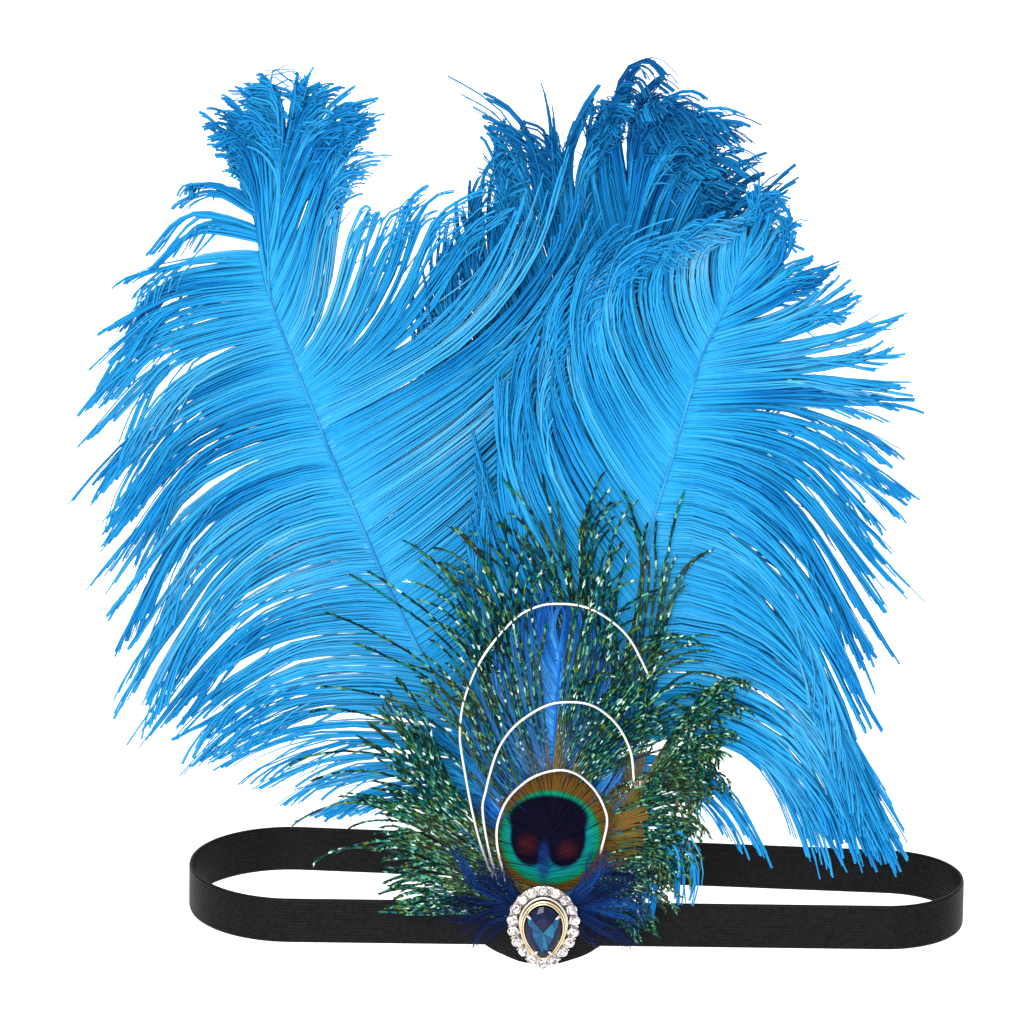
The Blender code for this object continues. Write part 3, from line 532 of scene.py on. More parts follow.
class Net:
    """A node tree that is filled by short calls: values and fields go in, a field comes back."""

    def __init__(self, tree):
        self.tree = tree

    def put(self, socket, value):
        if isinstance(value, Field):
            self.tree.links.new(value.socket, socket)
        elif value is not None:
            socket.default_value = value

    def node(self, kind, *values, out=None, **settings):
        """A new node. Returns its first output, the named one, or a list where `out` is a tuple of names.

        The values go to the inputs that are in use, in their order. A vector node takes all of its
        inputs, because its scale comes after three vectors.
        """
        made = self.tree.nodes.new(kind)
        for name, value in settings.items():
            setattr(made, name, value)
        sockets = made.inputs if kind == "ShaderNodeVectorMath" else [s for s in made.inputs if s.enabled]
        for socket, value in zip(sockets, values):
            self.put(socket, value)
        if isinstance(out, tuple):
            return [Field(self, made.outputs[name]) for name in out]
        if out:
            return Field(self, made.outputs[out])
        return Field(self, next(s for s in made.outputs if s.enabled))

    def math(self, operation, *values):
        return self.node("ShaderNodeMath", *values, operation=operation)

    def vector(self, operation, *values):
        return self.node("ShaderNodeVectorMath", *values, operation=operation)

    def scaled(self, vector, share):
        return self.vector("SCALE", vector, None, None, share)

    def floor(self, value):
        return self.math("FLOOR", value)

    def within(self, value, low=0.0, high=1.0):
        return self.node("ShaderNodeClamp", value, low, high)

    def xyz(self, x, y, z):
        return self.node("ShaderNodeCombineXYZ", x, y, z)

    def mix(self, start, end, share):
        return start + (end - start) * share


def in_metres(name, value):
    return value * MM if name in LENGTHS else value


class GrowthNet(Net):
    """A geometry tree with named inputs, blanks written as underscores. `given` holds them as fields."""

    SOCKETS = {int: "NodeSocketInt", float: "NodeSocketFloat", type(None): "NodeSocketMaterial"}

    def __init__(self, name, **inputs):
        super().__init__(bpy.data.node_groups.new(name, "GeometryNodeTree"))
        interface = self.tree.interface
        for way in ("INPUT", "OUTPUT"):
            interface.new_socket("Geometry", in_out=way, socket_type="NodeSocketGeometry")
        for label, value in inputs.items():
            label = label.replace("_", " ")
            made = interface.new_socket(label, in_out="INPUT", socket_type=self.SOCKETS[type(value)])
            if value is not None:
                made.default_value = in_metres(label, value)
        source = self.tree.nodes.new("NodeGroupInput")
        self.given = {socket.name: Field(self, socket) for socket in source.outputs if socket.name}

    def attribute(self, name, kind="FLOAT"):
        return self.node("GeometryNodeInputNamedAttribute", name, data_type=kind)

    def store(self, geometry, name, value, kind="FLOAT", domain="POINT"):
        return self.node("GeometryNodeStoreNamedAttribute", geometry, None, name, value,
                         data_type=kind, domain=domain)

    def bake_spot(self, geometry, spot):
        """Stores each corner's spot of its own in the map named OFBake, for baking the looks to."""
        return self.store(geometry, "OFBake", spot, "FLOAT2", "CORNER")

    def chance(self, identity, seed, low=0.0, high=1.0):
        """A random number, or a random vector where the limits are vectors."""
        kind = "FLOAT_VECTOR" if isinstance(low, tuple) else "FLOAT"
        return self.node("FunctionNodeRandomValue", low, high, identity, seed, data_type=kind)

    def finished(self, geometry):
        sink = self.tree.nodes.new("NodeGroupOutput")
        self.put(sink.inputs[0], geometry)
        return self.tree

    def finished_body(self, mesh):
        mesh = self.node("GeometryNodeSetShadeSmooth", mesh, None, True)
        return self.finished(self.node("GeometryNodeSetMaterial", mesh, None, self.given["Material"]))

    def blades(self, lines, flat, width):
        """Three-sided blades along lines, `flat` of their width deep, and each corner's number."""
        profile = self.node("GeometryNodeCurvePrimitiveCircle", 3, 1.0)
        profile = self.store(profile, "corner", self.node("GeometryNodeInputIndex"))
        profile = self.node("GeometryNodeTransform", profile, None, None, self.xyz(flat, 1.0, 1.0))
        return self.node("GeometryNodeCurveToMesh", lines, profile, width, True)


def lay_tree():
    """Lines laid over a vane: each copy of one line follows the vane's chart, drawn into locks.

    Every random draw has a number of its own.
    """
    net = GrowthNet("laid_barbs", Count=1000, Points=10, Locks=100, Wisps_per_lock=3, Lock_pull=0.5,
                    Wisp_pull=0.6, Short=0.8, Long=1.0, Stray=0.0, Root=0.5, Back=0.0, Front=1.0,
                    Rise=0.2, Droop=0.0, Sway=12.0, Frizz=3.0, Curl=0.0, Hook=0.0, Late=1.6, Fold=0.6,
                    Seed=1, Lock_seed=1)
    given = net.given

    # One line, its points closer towards the tip, and numbered copies of it
    line = net.node("GeometryNodeCurvePrimitiveLine")
    line = net.node("GeometryNodeResampleCurve", line, None, given["Points"])
    line = net.store(line, "along", 1.0 - (1.0 - net.node("GeometryNodeSplineParameter")) ** TIP_SPACING)
    lines = net.node("GeometryNodeDuplicateElements", line, None, given["Count"], domain="SPLINE")
    lines = net.store(lines, "strand", net.node("GeometryNodeInputIndex"), "INT", "CURVE")
    strand = net.attribute("strand", "INT")
    along = net.attribute("along")

    def own(number, low=0.0, high=1.0):
        """A draw of the line's own."""
        return net.chance(strand, given["Seed"] + number, low, high)

    def shared(mark, number, low=0.0, high=1.0):
        """A draw that all lines of a lock or of a wisp share."""
        return net.chance(mark, given["Lock seed"] + number, low, high)

    # Place across the vanes, drawn to the middle of the line's wisp and of its lock
    across = (strand + own(1)) / given["Count"]

    def gathered(parts, number):
        """Middle of the part of the vanes that this line falls in, and a mark for that part."""
        part = net.floor(across * parts)
        mark = part + number * MARK_SPACING
        return (part + shared(mark, number, 0.25, 0.75)) / parts, mark

    wisp_place, wisp = gathered(given["Locks"] * given["Wisps per lock"], 2)
    lock_place, lock = gathered(given["Locks"], 3)
    place = net.mix(across, wisp_place, given["Wisp pull"] * along ** 0.9)
    lock_pull = given["Lock pull"] * shared(lock, 13, 0.5, 1.3)
    place = net.mix(place, lock_place, net.within(lock_pull * along ** 1.4))

    # How far along its barb the line reaches, and where that is on the vane
    reach = net.mix(given["Short"], given["Long"], own(5) ** 0.6)
    reach = reach * shared(lock, 6, 0.9, 1.03) * shared(wisp, 12, 0.93, 1.02)
    reach = reach + given["Stray"] * own(15) ** 24.0
    spot = net.xyz(net.within(place, 0.0005, 0.9995),
                   net.within(along * reach / MAP_REACH, 0.001, 0.999), 0.0)
    chart = net.attribute("chart", "FLOAT_VECTOR")

    def on_vane(value, kind="FLOAT"):
        return net.node("GeometryNodeSampleUVSurface", given["Geometry"], value, chart, spot, data_type=kind)

    base = on_vane(net.node("GeometryNodeInputPosition"), "FLOAT_VECTOR")

    # Place within the layer's depth, the curl forward and the droop of the tips
    level = net.mix(own(7), shared(lock, 8), 0.6)
    risen = net.within(along / given["Rise"])
    depth = net.mix(given["Root"], net.mix(given["Back"], given["Front"], level), risen)
    curl = given["Curl"] * along ** 3.0 * shared(lock, 14, 0.2, 1.0)
    forward = on_vane(net.attribute("deep")) * depth + curl
    hang = net.within(along * 2.2 - 1.2) ** 2.0 * given["Droop"] * shared(wisp, 16, 0.2, 1.3)
    aside = hang * (shared(wisp, 17) - 0.5)

    # Sway of locks and wisps, and the frizz of each line
    def sway(mark, rate, number, seed="Lock seed"):
        turn = net.xyz(mark * 0.731, along * rate, given[seed] + number * 3.7)
        wave = net.node("ShaderNodeTexNoise", turn, 1.0, 1.0, 0.5, out="Color")
        return net.vector("SUBTRACT", wave, (0.5, 0.5, 0.5))

    lean = given["Sway"] * along ** 1.5
    place = (base + net.xyz(aside, forward * -1.0, hang * -1.0) + sway(lock, 1.3, 1) * lean
             + sway(wisp, 2.0, 3) * (lean * 0.6) + sway(strand, 3.0, 2, "Seed") * (given["Frizz"] * along))
    lines = net.node("GeometryNodeSetPosition", lines, None, place)

    # The hooked tip, turned as the vane's rows say and folded back on itself
    tangent = net.node("GeometryNodeInputTangent")
    sideways = net.vector("CROSS_PRODUCT", tangent, (0.0, 1.0, 0.0))
    hook = net.within(1.0 - (1.0 - along) * given["Late"]) ** 2.0 * given["Hook"]
    turn = on_vane(net.attribute("bend")) * shared(wisp, 18, 0.5, 1.3) + shared(wisp, 19, -0.22, 0.22)
    shorter = net.math("ABSOLUTE", turn) * given["Fold"] * -1.0
    lines = net.node("GeometryNodeSetPosition", lines, None, None,
                     (sideways * turn + tangent * shorter) * hook)
    for name, value in (("tint", own(9)), ("lock", shared(lock, 10)), ("wisp", shared(wisp, 11)),
                        ("column", across)):
        lines = net.store(lines, name, value)
    return net.finished(lines)


def barb_tree():
    """Each line becomes a tapered three-sided barb."""
    net = GrowthNet("barbs", Thin=0.2, Thick=0.4, Tip=0.3, Flat=0.5, Seed=1, Material=None)
    given = net.given
    strand = net.attribute("strand", "INT")
    along = net.attribute("along")
    tilt = net.chance(strand, given["Seed"], (-0.5, -1.0, -0.5), (0.5, -0.6, 0.5))
    lines = net.node("GeometryNodeSetCurveNormal", given["Geometry"], None, tilt, mode="FREE")
    width = net.mix(given["Thin"], given["Thick"], net.chance(strand, given["Seed"] + 20) ** 2.0)
    barbs = net.blades(lines, given["Flat"], width * net.mix(1.0, given["Tip"], along ** 2.5))
    spot = net.xyz(net.attribute("column") + net.attribute("corner") * 0.0005, along, 0.0)
    return net.finished_body(net.bake_spot(barbs, spot))


def herl_tree():
    """Each line becomes a thin stem with short barbules on both sides, fuller towards its tip."""
    net = GrowthNet("herls", Material=None)
    lines = net.given["Geometry"]
    along = net.attribute("along")
    column = net.attribute("column")
    fullness = net.within(along * 2.2 - 0.35)
    facing = net.node("GeometryNodeSetCurveNormal", lines, None, (0.0, -1.0, 0.0), mode="FREE")
    stems = net.blades(facing, 0.7, net.mix(0.35, 1.0, fullness) * (HERL_STEM * MM))
    stems = net.bake_spot(stems, net.xyz(column + net.attribute("corner") * 0.001, along, 0.0))

    points, tangent = net.node("GeometryNodeCurveToPoints", lines, BARBULE_SPACING * MM, mode="LENGTH",
                               out=("Points", "Tangent"))
    index = net.node("GeometryNodeInputIndex")
    side = net.math("MODULO", index, 2.0) * 2.0 - 1.0
    sideways = net.vector("CROSS_PRODUCT", tangent, (0.0, 1.0, 0.0))
    angle = math.radians(BARBULE_ANGLE)
    way = (tangent * math.cos(angle) + sideways * (side * math.sin(angle))
           + net.chance(index, 2, (-0.3, -0.4, -0.3), (0.3, 0.4, 0.3)))
    cone, cone_map = net.node("GeometryNodeMeshCone", 3, 1, 1, 0.0, BARBULE_GIRTH * MM,
                              BARBULE_LENGTH * MM, fill_type="NGON", out=("Mesh", "UV Map"))
    cone = net.store(cone, "own", cone_map, "FLOAT2", "CORNER")
    size = net.chance(index, 3, 0.6, 1.3) * net.mix(0.1, 1.0, fullness)
    turned = net.node("FunctionNodeAlignRotationToVector", None, 1.0, way, axis="Z")
    barbules = net.node("GeometryNodeInstanceOnPoints", points, None, cone, None, None, turned,
                        net.xyz(size, size, size))
    barbules = net.node("GeometryNodeRealizeInstances", barbules)
    spot = net.xyz(column, along, 0.0) + net.attribute("own", "FLOAT_VECTOR") * 0.001
    barbules = net.bake_spot(barbules, spot)
    both = net.tree.nodes.new("GeometryNodeJoinGeometry")
    for part in (stems, barbules):
        net.put(both.inputs[0], part)
    return net.finished_body(Field(net, both.outputs[0]))


LAY = lay_tree()
BARB = barb_tree()
HERL = herl_tree()


def grown(vane, body, looks):
    """Lays lines over a vane's map, gives each line its body, and returns the plain mesh."""
    bed = bpy.data.objects.new("bed", vane)
    bpy.context.scene.collection.objects.link(bed)
    for tree in (LAY, body):
        modifier = bed.modifiers.new("grow", "NODES")
        modifier.node_group = tree
        for item in tree.interface.items_tree:
            if item.in_out == "INPUT" and item.name in looks:
                modifier[item.identifier] = in_metres(item.name, looks[item.name])
    graph = bpy.context.evaluated_depsgraph_get()
    mesh = bpy.data.meshes.new_from_object(bed.evaluated_get(graph), preserve_all_data_layers=True,
                                           depsgraph=graph)
    bpy.data.objects.remove(bed)
    return mesh


# Meshes and pieces

def smooth_path(points, steps):
    """Catmull-Rom curve through the points, with this many steps between two of them."""
    line = [Vector(p) for p in points]
    line = [line[0] * 2 - line[1]] + line + [line[-1] * 2 - line[-2]]
    out = []
    for a, b, c, d in zip(line, line[1:], line[2:], line[3:]):
        for k in range(steps):
            t = k / steps
            out.append(0.5 * (2 * b + (c - a) * t + (2 * a - 5 * b + 4 * c - d) * t**2
                              + (3 * b - a - 3 * c + d) * t**3))
    out.append(line[-2])
    return out


def mesh_from(bm, name, smooth=True):
    bmesh.ops.recalc_face_normals(bm, faces=bm.faces)
    mesh = bpy.data.meshes.new(name)
    bm.to_mesh(mesh)
    bm.free()
    if smooth:
        mesh.shade_smooth()
    return mesh


def loft(name, rings, closed=False):
    """Mesh through rings of equal count: a closed loop of them, or with both end rings filled."""
    bm = bmesh.new()
    loops = [[bm.verts.new(co) for co in ring] for ring in rings]
    for low, high in zip(loops, loops[1:] + loops[:1] if closed else loops[1:]):
        for k in range(len(low)):
            after = (k + 1) % len(low)
            bm.faces.new((low[k], low[after], high[after], high[k]))
    if not closed:
        bm.faces.new(loops[0])
        bm.faces.new(reversed(loops[-1]))
    return mesh_from(bm, name)


def tube(path, radii, sides=8, closed=False):
    """Tube along the path, with a radius at each point."""
    rings = []
    last = len(path) - 1
    for k, place in enumerate(path):
        if closed:
            ahead = path[k + 1 if k < last else 0] - path[k - 1]
        else:
            ahead = path[min(k + 1, last)] - path[max(k - 1, 0)]
        ahead.normalize()
        across = ahead.cross(Vector((0, 1, 0)))
        if across.length <= 0.05:
            across = ahead.cross(Vector((1, 0, 0)))
        across.normalize()
        up = across.cross(ahead)
        rings.append([place + (across * math.cos(a) + up * math.sin(a)) * radii[k]
                      for a in (2 * math.pi * n / sides for n in range(sides))])
    return loft("tube", rings, closed)


def bead(middle, radius, stretch):
    bm = bmesh.new()
    bmesh.ops.create_uvsphere(bm, u_segments=10, v_segments=6, radius=radius)
    for vert in bm.verts:
        vert.co = Vector((vert.co.x, vert.co.y * stretch, vert.co.z)) + middle
    return mesh_from(bm, "bead")


def facet_mesh(name, rings, tone):
    """Closed cut stone through rings of equal or halved count, each face with its own tone."""
    bm = bmesh.new()
    layer = bm.faces.layers.float.new("facet")
    loops = [[bm.verts.new(co) for co in ring] for ring in rings]
    for low, high in zip(loops, loops[1:]):
        for k, here in enumerate(high):
            after = high[(k + 1) % len(high)]
            if len(low) == len(high):
                facets = ((low[k], low[(k + 1) % len(low)], after), (low[k], after, here))
            else:
                left, middle, right = low[2 * k], low[2 * k + 1], low[(2 * k + 2) % len(low)]
                facets = ((left, middle, here), (middle, right, after), (middle, after, here))
            for facet in facets:
                bm.faces.new(facet)
    bm.faces.new(loops[0])
    top = loops[-1]
    hub = bm.verts.new(sum((v.co for v in top), Vector()) / len(top))
    for k in range(len(top)):
        bm.faces.new((top[k], top[(k + 1) % len(top)], hub))
    bm.faces.ensure_lookup_table()
    for k, face in enumerate(bm.faces):
        face[layer] = tone(k, face.calc_center_median())
    return mesh_from(bm, name, smooth=False)


def coloured(mesh, material):
    mesh.materials.append(material)
    return mesh


def add_object(name, mesh):
    thing = bpy.data.objects.new(name, mesh)
    bpy.context.scene.collection.objects.link(thing)
    return thing


def put_in_place(name, slot, nodes, *meshes):
    """One piece from several meshes, which rides with the headband and stands for these nodes."""
    things = [add_object(name, mesh) for mesh in meshes]
    piece = things[0]
    if len(things) > 1:
        with bpy.context.temp_override(active_object=piece, object=piece,
                                       selected_editable_objects=things, selected_objects=things):
            bpy.ops.object.join()
    piece.name = name
    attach(piece, "root")
    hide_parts(*nodes)


# Materials

def linear(red, green, blue):
    """Colour from its 0 to 255 screen values."""
    return tuple(((c / 255 + 0.055) / 1.055) ** 2.4 if c > 10 else c / 3295 for c in (red, green, blue))


def tones(*stops):
    """Ramp stops (place, colour) from (place, red, green, blue) in 0 to 255 screen values."""
    return [(place, linear(*colour)) for place, *colour in stops]


AZURE = tones((0.0, 4, 74, 136), (0.25, 10, 112, 180), (0.5, 28, 146, 207), (0.75, 58, 163, 216),
              (1.0, 108, 184, 223))
ROYAL = tones((0.0, 6, 18, 52), (0.35, 12, 50, 112), (0.6, 20, 88, 168), (0.85, 34, 118, 200),
              (1.0, 70, 146, 215))


class Paint(Net):
    """A material's tree, filled by short calls up to the colour of its surface."""

    def __init__(self, name, roughness, metallic=0.0, specular=0.1):
        self.material = bpy.data.materials.new(name)
        self.material.use_nodes = True
        super().__init__(self.material.node_tree)
        self.surface = self.tree.nodes["Principled BSDF"].inputs
        self.put(self.surface["Roughness"], roughness)
        self.put(self.surface["Metallic"], metallic)
        self.put(self.surface["Specular IOR Level"], specular)
        self.place = self.node("ShaderNodeTexCoord", out="Object")

    def attribute(self, name):
        return self.node("ShaderNodeAttribute", out="Fac", attribute_name=name)

    def noise(self, scale, detail=2.0, fineness=0.5):
        return self.node("ShaderNodeTexNoise", self.place, scale, detail, fineness)

    def step(self, value, low, high):
        """0 below low, 1 above high, smooth between."""
        return self.node("ShaderNodeMapRange", value, low, high, 0.0, 1.0, interpolation_type="SMOOTHSTEP")

    def ramp(self, value, stops, how="LINEAR"):
        """Colour ramp over (place, colour) stops."""
        colour = self.node("ShaderNodeValToRGB", value)
        bar = colour.socket.node.color_ramp
        bar.interpolation = how
        while len(bar.elements) < len(stops):
            bar.elements.new(0.5)
        for point, (place, tone) in zip(bar.elements, stops):
            point.position = place
            point.color = (*tone, 1.0)
        return colour

    def blend(self, share, first, second):
        """Colour mix: the first where the share is 0, the second where it is 1."""
        pair = [colour if isinstance(colour, Field) else (*colour, 1.0) for colour in (first, second)]
        return self.node("ShaderNodeMix", share, *pair, data_type="RGBA")

    def relief(self, height, strength, distance):
        node = self.tree.nodes.new("ShaderNodeBump")
        for label, value in (("Strength", strength), ("Distance", distance), ("Height", height)):
            self.put(node.inputs[label], value)
        self.put(self.surface["Normal"], Field(self, node.outputs[0]))

    def finished(self, colour):
        self.put(self.surface["Base Color"], colour)
        return self.material

    def shaded(self, colour, darkest):
        """The colour, darker or lighter from one barb to the next."""
        return self.finished(self.scaled(colour, self.attribute("tint") * 0.5 + darkest))


def mottled_material(name, roughness, scale, dark, light, detail=2.0, fineness=0.5, specular=0.1,
                     relief=None):
    """Two colours in a cloud of this scale, over a relief (scale, strength, depth) or none."""
    paint = Paint(name, roughness, specular=specular)
    if relief:
        paint.relief(paint.noise(relief[0], detail, fineness), *relief[1:])
    return paint.finished(paint.ramp(paint.noise(scale, detail, fineness), ((0.3, dark), (0.7, light))))


def plume_material(name, shift, stops, tip):
    """Dyed barbs: even and light beside the quill, lock by lock lighter and deeper further out, and darker
    over the top. The shift lifts or lowers the whole tone, which makes the lit and shaded azure copies:
    painted light and painted shade.
    """
    paint = Paint(name, 0.75, specular=0.08)
    along = paint.attribute("along")
    spread = paint.step(along, 0.05, 0.5) * 0.75 + 0.25
    tone = ((paint.attribute("lock") - 0.5) * 0.44 + (paint.attribute("wisp") - 0.5) * 0.26
            + (paint.noise(26.0) - 0.5) * 0.7) * spread
    tone = tone + (paint.attribute("tint") - 0.5) * 0.18
    height = paint.node("ShaderNodeSeparateXYZ", paint.place, out="Z")
    tone = tone - along * 0.08 - paint.step(height, 0.19, 0.27) * 0.2 + (0.60 + shift)
    return paint.finished(paint.blend(paint.step(along, 0.7, 1.0) * 0.45, paint.ramp(tone, stops), tip))


def herl_material():
    """Peacock herl: dashes of dark green, gold, teal and bright mint along each rope of barbules. The pale
    mint and near-white dashes are painted glints; the darkest dashes are partly the herl's own dark green and
    partly painted shade among the herls.
    """
    paint = Paint("peacock_herl", 0.4)
    along = paint.attribute("along")
    cell = paint.xyz(paint.floor(paint.attribute("column") * 997.0), paint.floor(along * HERL_DASHES), 0.0)
    dash = paint.node("ShaderNodeTexWhiteNoise", cell)
    # Painted glints in the two palest stops; the darkest stops are partly painted shade.
    colour = paint.ramp(dash, tones((0.0, 4, 34, 34), (0.32, 8, 62, 56), (0.54, 24, 106, 72),
                                    (0.69, 88, 116, 36), (0.77, 16, 104, 116), (0.87, 104, 172, 142),
                                    (0.965, 206, 236, 218)), how="CONSTANT")
    warm = paint.step(paint.noise(45.0, 1.0), 0.5, 0.66)
    colour = paint.blend(warm * 0.14, colour, linear(118, 108, 30))
    bare = paint.step(along, 0.34, 0.1)
    return paint.finished(paint.blend(bare * 0.75, colour, linear(134, 104, 40)))


def eye_material():
    """Peacock eye: a navy heart with maroon lobes in teal, then green, bronze and olive rings."""
    paint = Paint("peacock_eye", 0.7, specular=0.02)

    def oval(offset, half):
        """Distance from the oval's middle, 1 at its edge."""
        middle = [(centre + shift) * MM for centre, shift in zip(EYE_MIDDLE, offset)]
        shares = paint.vector("MULTIPLY", paint.place - (middle[0], 0.0, middle[1]),
                              (1 / (half[0] * MM), 0.0, 1 / (half[1] * MM)))
        return paint.vector("LENGTH", shares)

    ring = oval(*EYE_RINGS) + (paint.noise(700.0) - 0.5) * 0.07
    colour = paint.ramp(ring, tones((0.0, 10, 84, 116), (0.62, 10, 104, 124), (0.8, 10, 126, 126),
                                    (0.94, 8, 122, 88), (1.02, 48, 84, 34), (1.1, 96, 50, 26),
                                    (1.3, 92, 66, 28)))
    heart = oval(*EYE_HEART[0])
    for part in EYE_HEART[1:]:
        heart = paint.math("SMOOTH_MIN", heart, oval(*part), 0.2)
    colour = paint.blend(paint.step(heart, 1.12, 0.94), colour, linear(10, 9, 28))
    for lobe in EYE_LOBES:
        colour = paint.blend(paint.step(oval(*lobe), 1.3, 0.1) * 0.7, colour, linear(66, 22, 28))
    notch = paint.step(oval(*EYE_NOTCH), 1.15, 0.4)
    return paint.shaded(paint.blend(notch * 0.8, colour, linear(22, 48, 112)), 0.72)


def back_eye_material():
    """The half-hidden second eye: olive and bronze."""
    paint = Paint("peacock_eye_behind", 0.5)
    return paint.shaded(paint.ramp(paint.noise(160.0, 3.0, 0.6), tones(
        (0.3, 62, 56, 24), (0.5, 102, 92, 38), (0.68, 120, 80, 36), (0.8, 84, 110, 56))), 0.75)


def metal_material(name, colour, roughness):
    """Metal with soft clouds of wear in its colour and its polish."""
    paint = Paint(name, roughness, metallic=1.0)
    wear = 0.08
    cloud = paint.noise(320.0, 3.0, 0.6)
    paint.put(paint.surface["Roughness"], cloud * (2 * wear) + (roughness - wear))
    return paint.finished(paint.blend(cloud * 0.6, colour, tuple(c * 0.72 for c in colour)))


def stone_material(name, gloss, stops):
    """Cut glass: each facet has its own tone, a painted reflection, under a hard clear surface."""
    paint = Paint(name, 0.04, specular=gloss)
    tone = paint.attribute("facet") + (paint.noise(500.0, 1.0) - 0.5) * 0.2
    return paint.finished(paint.ramp(tone, stops))


# Feathers

def quill_mesh(design, material, thick, thin, share, reach=1.0):
    """A feather's quill as far as the reach, from thick to thin, at this share of its layer."""
    path = [layer_point(design["layer"], *point_along(design["quill"], reach * k / QUILL_STEPS), share)
            for k in range(QUILL_STEPS + 1)]
    radii = [(thick + (thin - thick) * k / QUILL_STEPS) * MM for k in range(QUILL_STEPS + 1)]
    return coloured(tube(path, radii), material)


def plume(name, design, top, below, quill, seed, hairs, blades, curl, droop):
    vane, locks = vane_map(design)
    both = {"Locks": locks, "Lock seed": seed, "Curl": curl, "Droop": droop}
    broad = {**PLUME_BLADES, **both, "Count": blades, "Seed": seed, "Material": below}
    fine = {**PLUME_HAIRS, **both, "Count": hairs, "Seed": seed + 50, "Material": top}
    put_in_place(name, "azure_plume", ["ostrich_" + name], grown(vane, BARB, broad), grown(vane, BARB, fine),
                 quill_mesh(design, quill, 0.7, 0.25, share=0.62))


def herls(design, material, seed, count, front):
    vane, locks = vane_map(design, lock_size=HERL_LOCK_SIZE)
    return grown(vane, HERL, {**HERLS, "Locks": locks, "Count": count, "Seed": seed, "Lock seed": seed,
                              "Front": front, "Material": material})


def eye_rows(quill, side, middle, half, base):
    """Barb rows of a round eye: from the quill up and out to the eye's edge."""
    rows = []
    for k in range(EYE_ROWS + 1):
        turn = math.pi * k / EYE_ROWS
        tip = np.array([middle[0] - side * half[0] * math.sin(turn), middle[1] - half[1] * math.cos(turn)])
        share = base[0] + (base[1] - base[0]) * k / EYE_ROWS
        way = tip - point_along(quill, share)
        angle = math.degrees(math.atan2(way[1], way[0])) % 360
        if angle > 270:
            angle -= 360
        bend = side * EYE_BEND * math.sin(turn)
        rows.append((share, np.linalg.norm(way), angle - bend, angle, angle, angle + bend))
    return rows


def eye_mesh(design, eye, material, seed, count, depth):
    """A bed of short barbs on the peacock feather, this many depths of its layer forward."""
    vanes = [(side, 1.0, eye_rows(design["quill"], side, *eye)) for side in (1, -1)]
    vane, locks = vane_map({**design, "vanes": vanes}, -0.3, EYE_LOCK_SIZE)
    return grown(vane, BARB, {**EYE_BARBS, "Locks": locks, "Count": count, "Seed": seed, "Lock seed": seed,
                              "Root": depth, "Back": depth, "Front": depth + 0.2, "Material": material})


def soft_feather(name, design, node, material, seed, hairs, blades, thick, loose):
    """A downy feather: `thick` is the breadth of its broad barbs, `loose` how far fine ones stray."""
    vane, locks = vane_map(design, lock_size=SOFT_LOCK_SIZE)
    both = {"Locks": locks, "Lock seed": seed, "Material": material}
    broad = {**SOFT_BLADES, **both, "Count": blades, "Seed": seed, "Thin": thick, "Thick": 2 * thick}
    fine = {**SOFT_HAIRS, **both, "Count": hairs, "Seed": seed + 9, "Sway": SOFT_SWAY * loose,
            "Frizz": SOFT_FRIZZ * loose}
    put_in_place(name, "royal_blue", [node], grown(vane, BARB, broad), grown(vane, BARB, fine),
                 quill_mesh(design, material, 0.6, 0.3, share=0.9))


# Band, felt, wires and brooch

def band_path():
    """Centre line of the loop, seen from above: two end arcs joined by straight runs."""
    left = Vector((LEFT_END_RADIUS - BAND_HALF_WIDTH, BAND_FRONT_Y + LEFT_END_RADIUS))
    right = Vector((BAND_HALF_WIDTH - RIGHT_END_RADIUS, BAND_FRONT_Y + RIGHT_END_RADIUS))
    slope = math.atan2(right.y - left.y, right.x - left.x)
    back_normal = math.pi / 2 + 2 * slope
    front_normal = -math.pi / 2

    def arc(centre, radius, start, end):
        for k in range(BAND_ARC_STEPS + 1):
            angle = start + (end - start) * k / BAND_ARC_STEPS
            yield centre + Vector((math.cos(angle), math.sin(angle))) * radius

    def straight(start, end):
        for k in range(1, BAND_STRAIGHT_STEPS):
            yield start.lerp(end, k / BAND_STRAIGHT_STEPS)

    right_arc = list(arc(right, RIGHT_END_RADIUS, front_normal, back_normal))
    left_arc = list(arc(left, LEFT_END_RADIUS, back_normal, front_normal + 2 * math.pi))
    return (right_arc + list(straight(right_arc[-1], left_arc[0]))
            + left_arc + list(straight(left_arc[-1], right_arc[0])))


def elastic_band(material):
    """The loop with ribs along both faces and a plain rounded edge above and below."""
    half = BAND_HEIGHT / 2
    steps = BAND_RIBS * RIB_STEPS
    face = []
    for k in range(steps + 1):
        z = -half + BAND_EDGE + (BAND_HEIGHT - 2 * BAND_EDGE) * k / steps
        face.append((BAND_THICKNESS / 2 - RIB_DEPTH * (1 - abs(math.sin(math.pi * k / RIB_STEPS))), z))
    profile = face + [(BAND_EDGE, half), (-BAND_EDGE, half)] + [(-d, z) for d, z in reversed(face)]
    profile += [(-BAND_EDGE, -half), (BAND_EDGE, -half)]
    path = band_path()
    rings = []
    for k, place in enumerate(path):
        ahead = path[(k + 1) % len(path)] - path[k - 1]
        outwards = Vector((ahead.y, -ahead.x)).normalized()
        rings.append([Vector((*(place + outwards * depth), z)) * MM for depth, z in profile])
    put_in_place("elastic_band_ribbed", "elastic", ["elastic_band"],
                 coloured(loft("band", rings, closed=True), material))


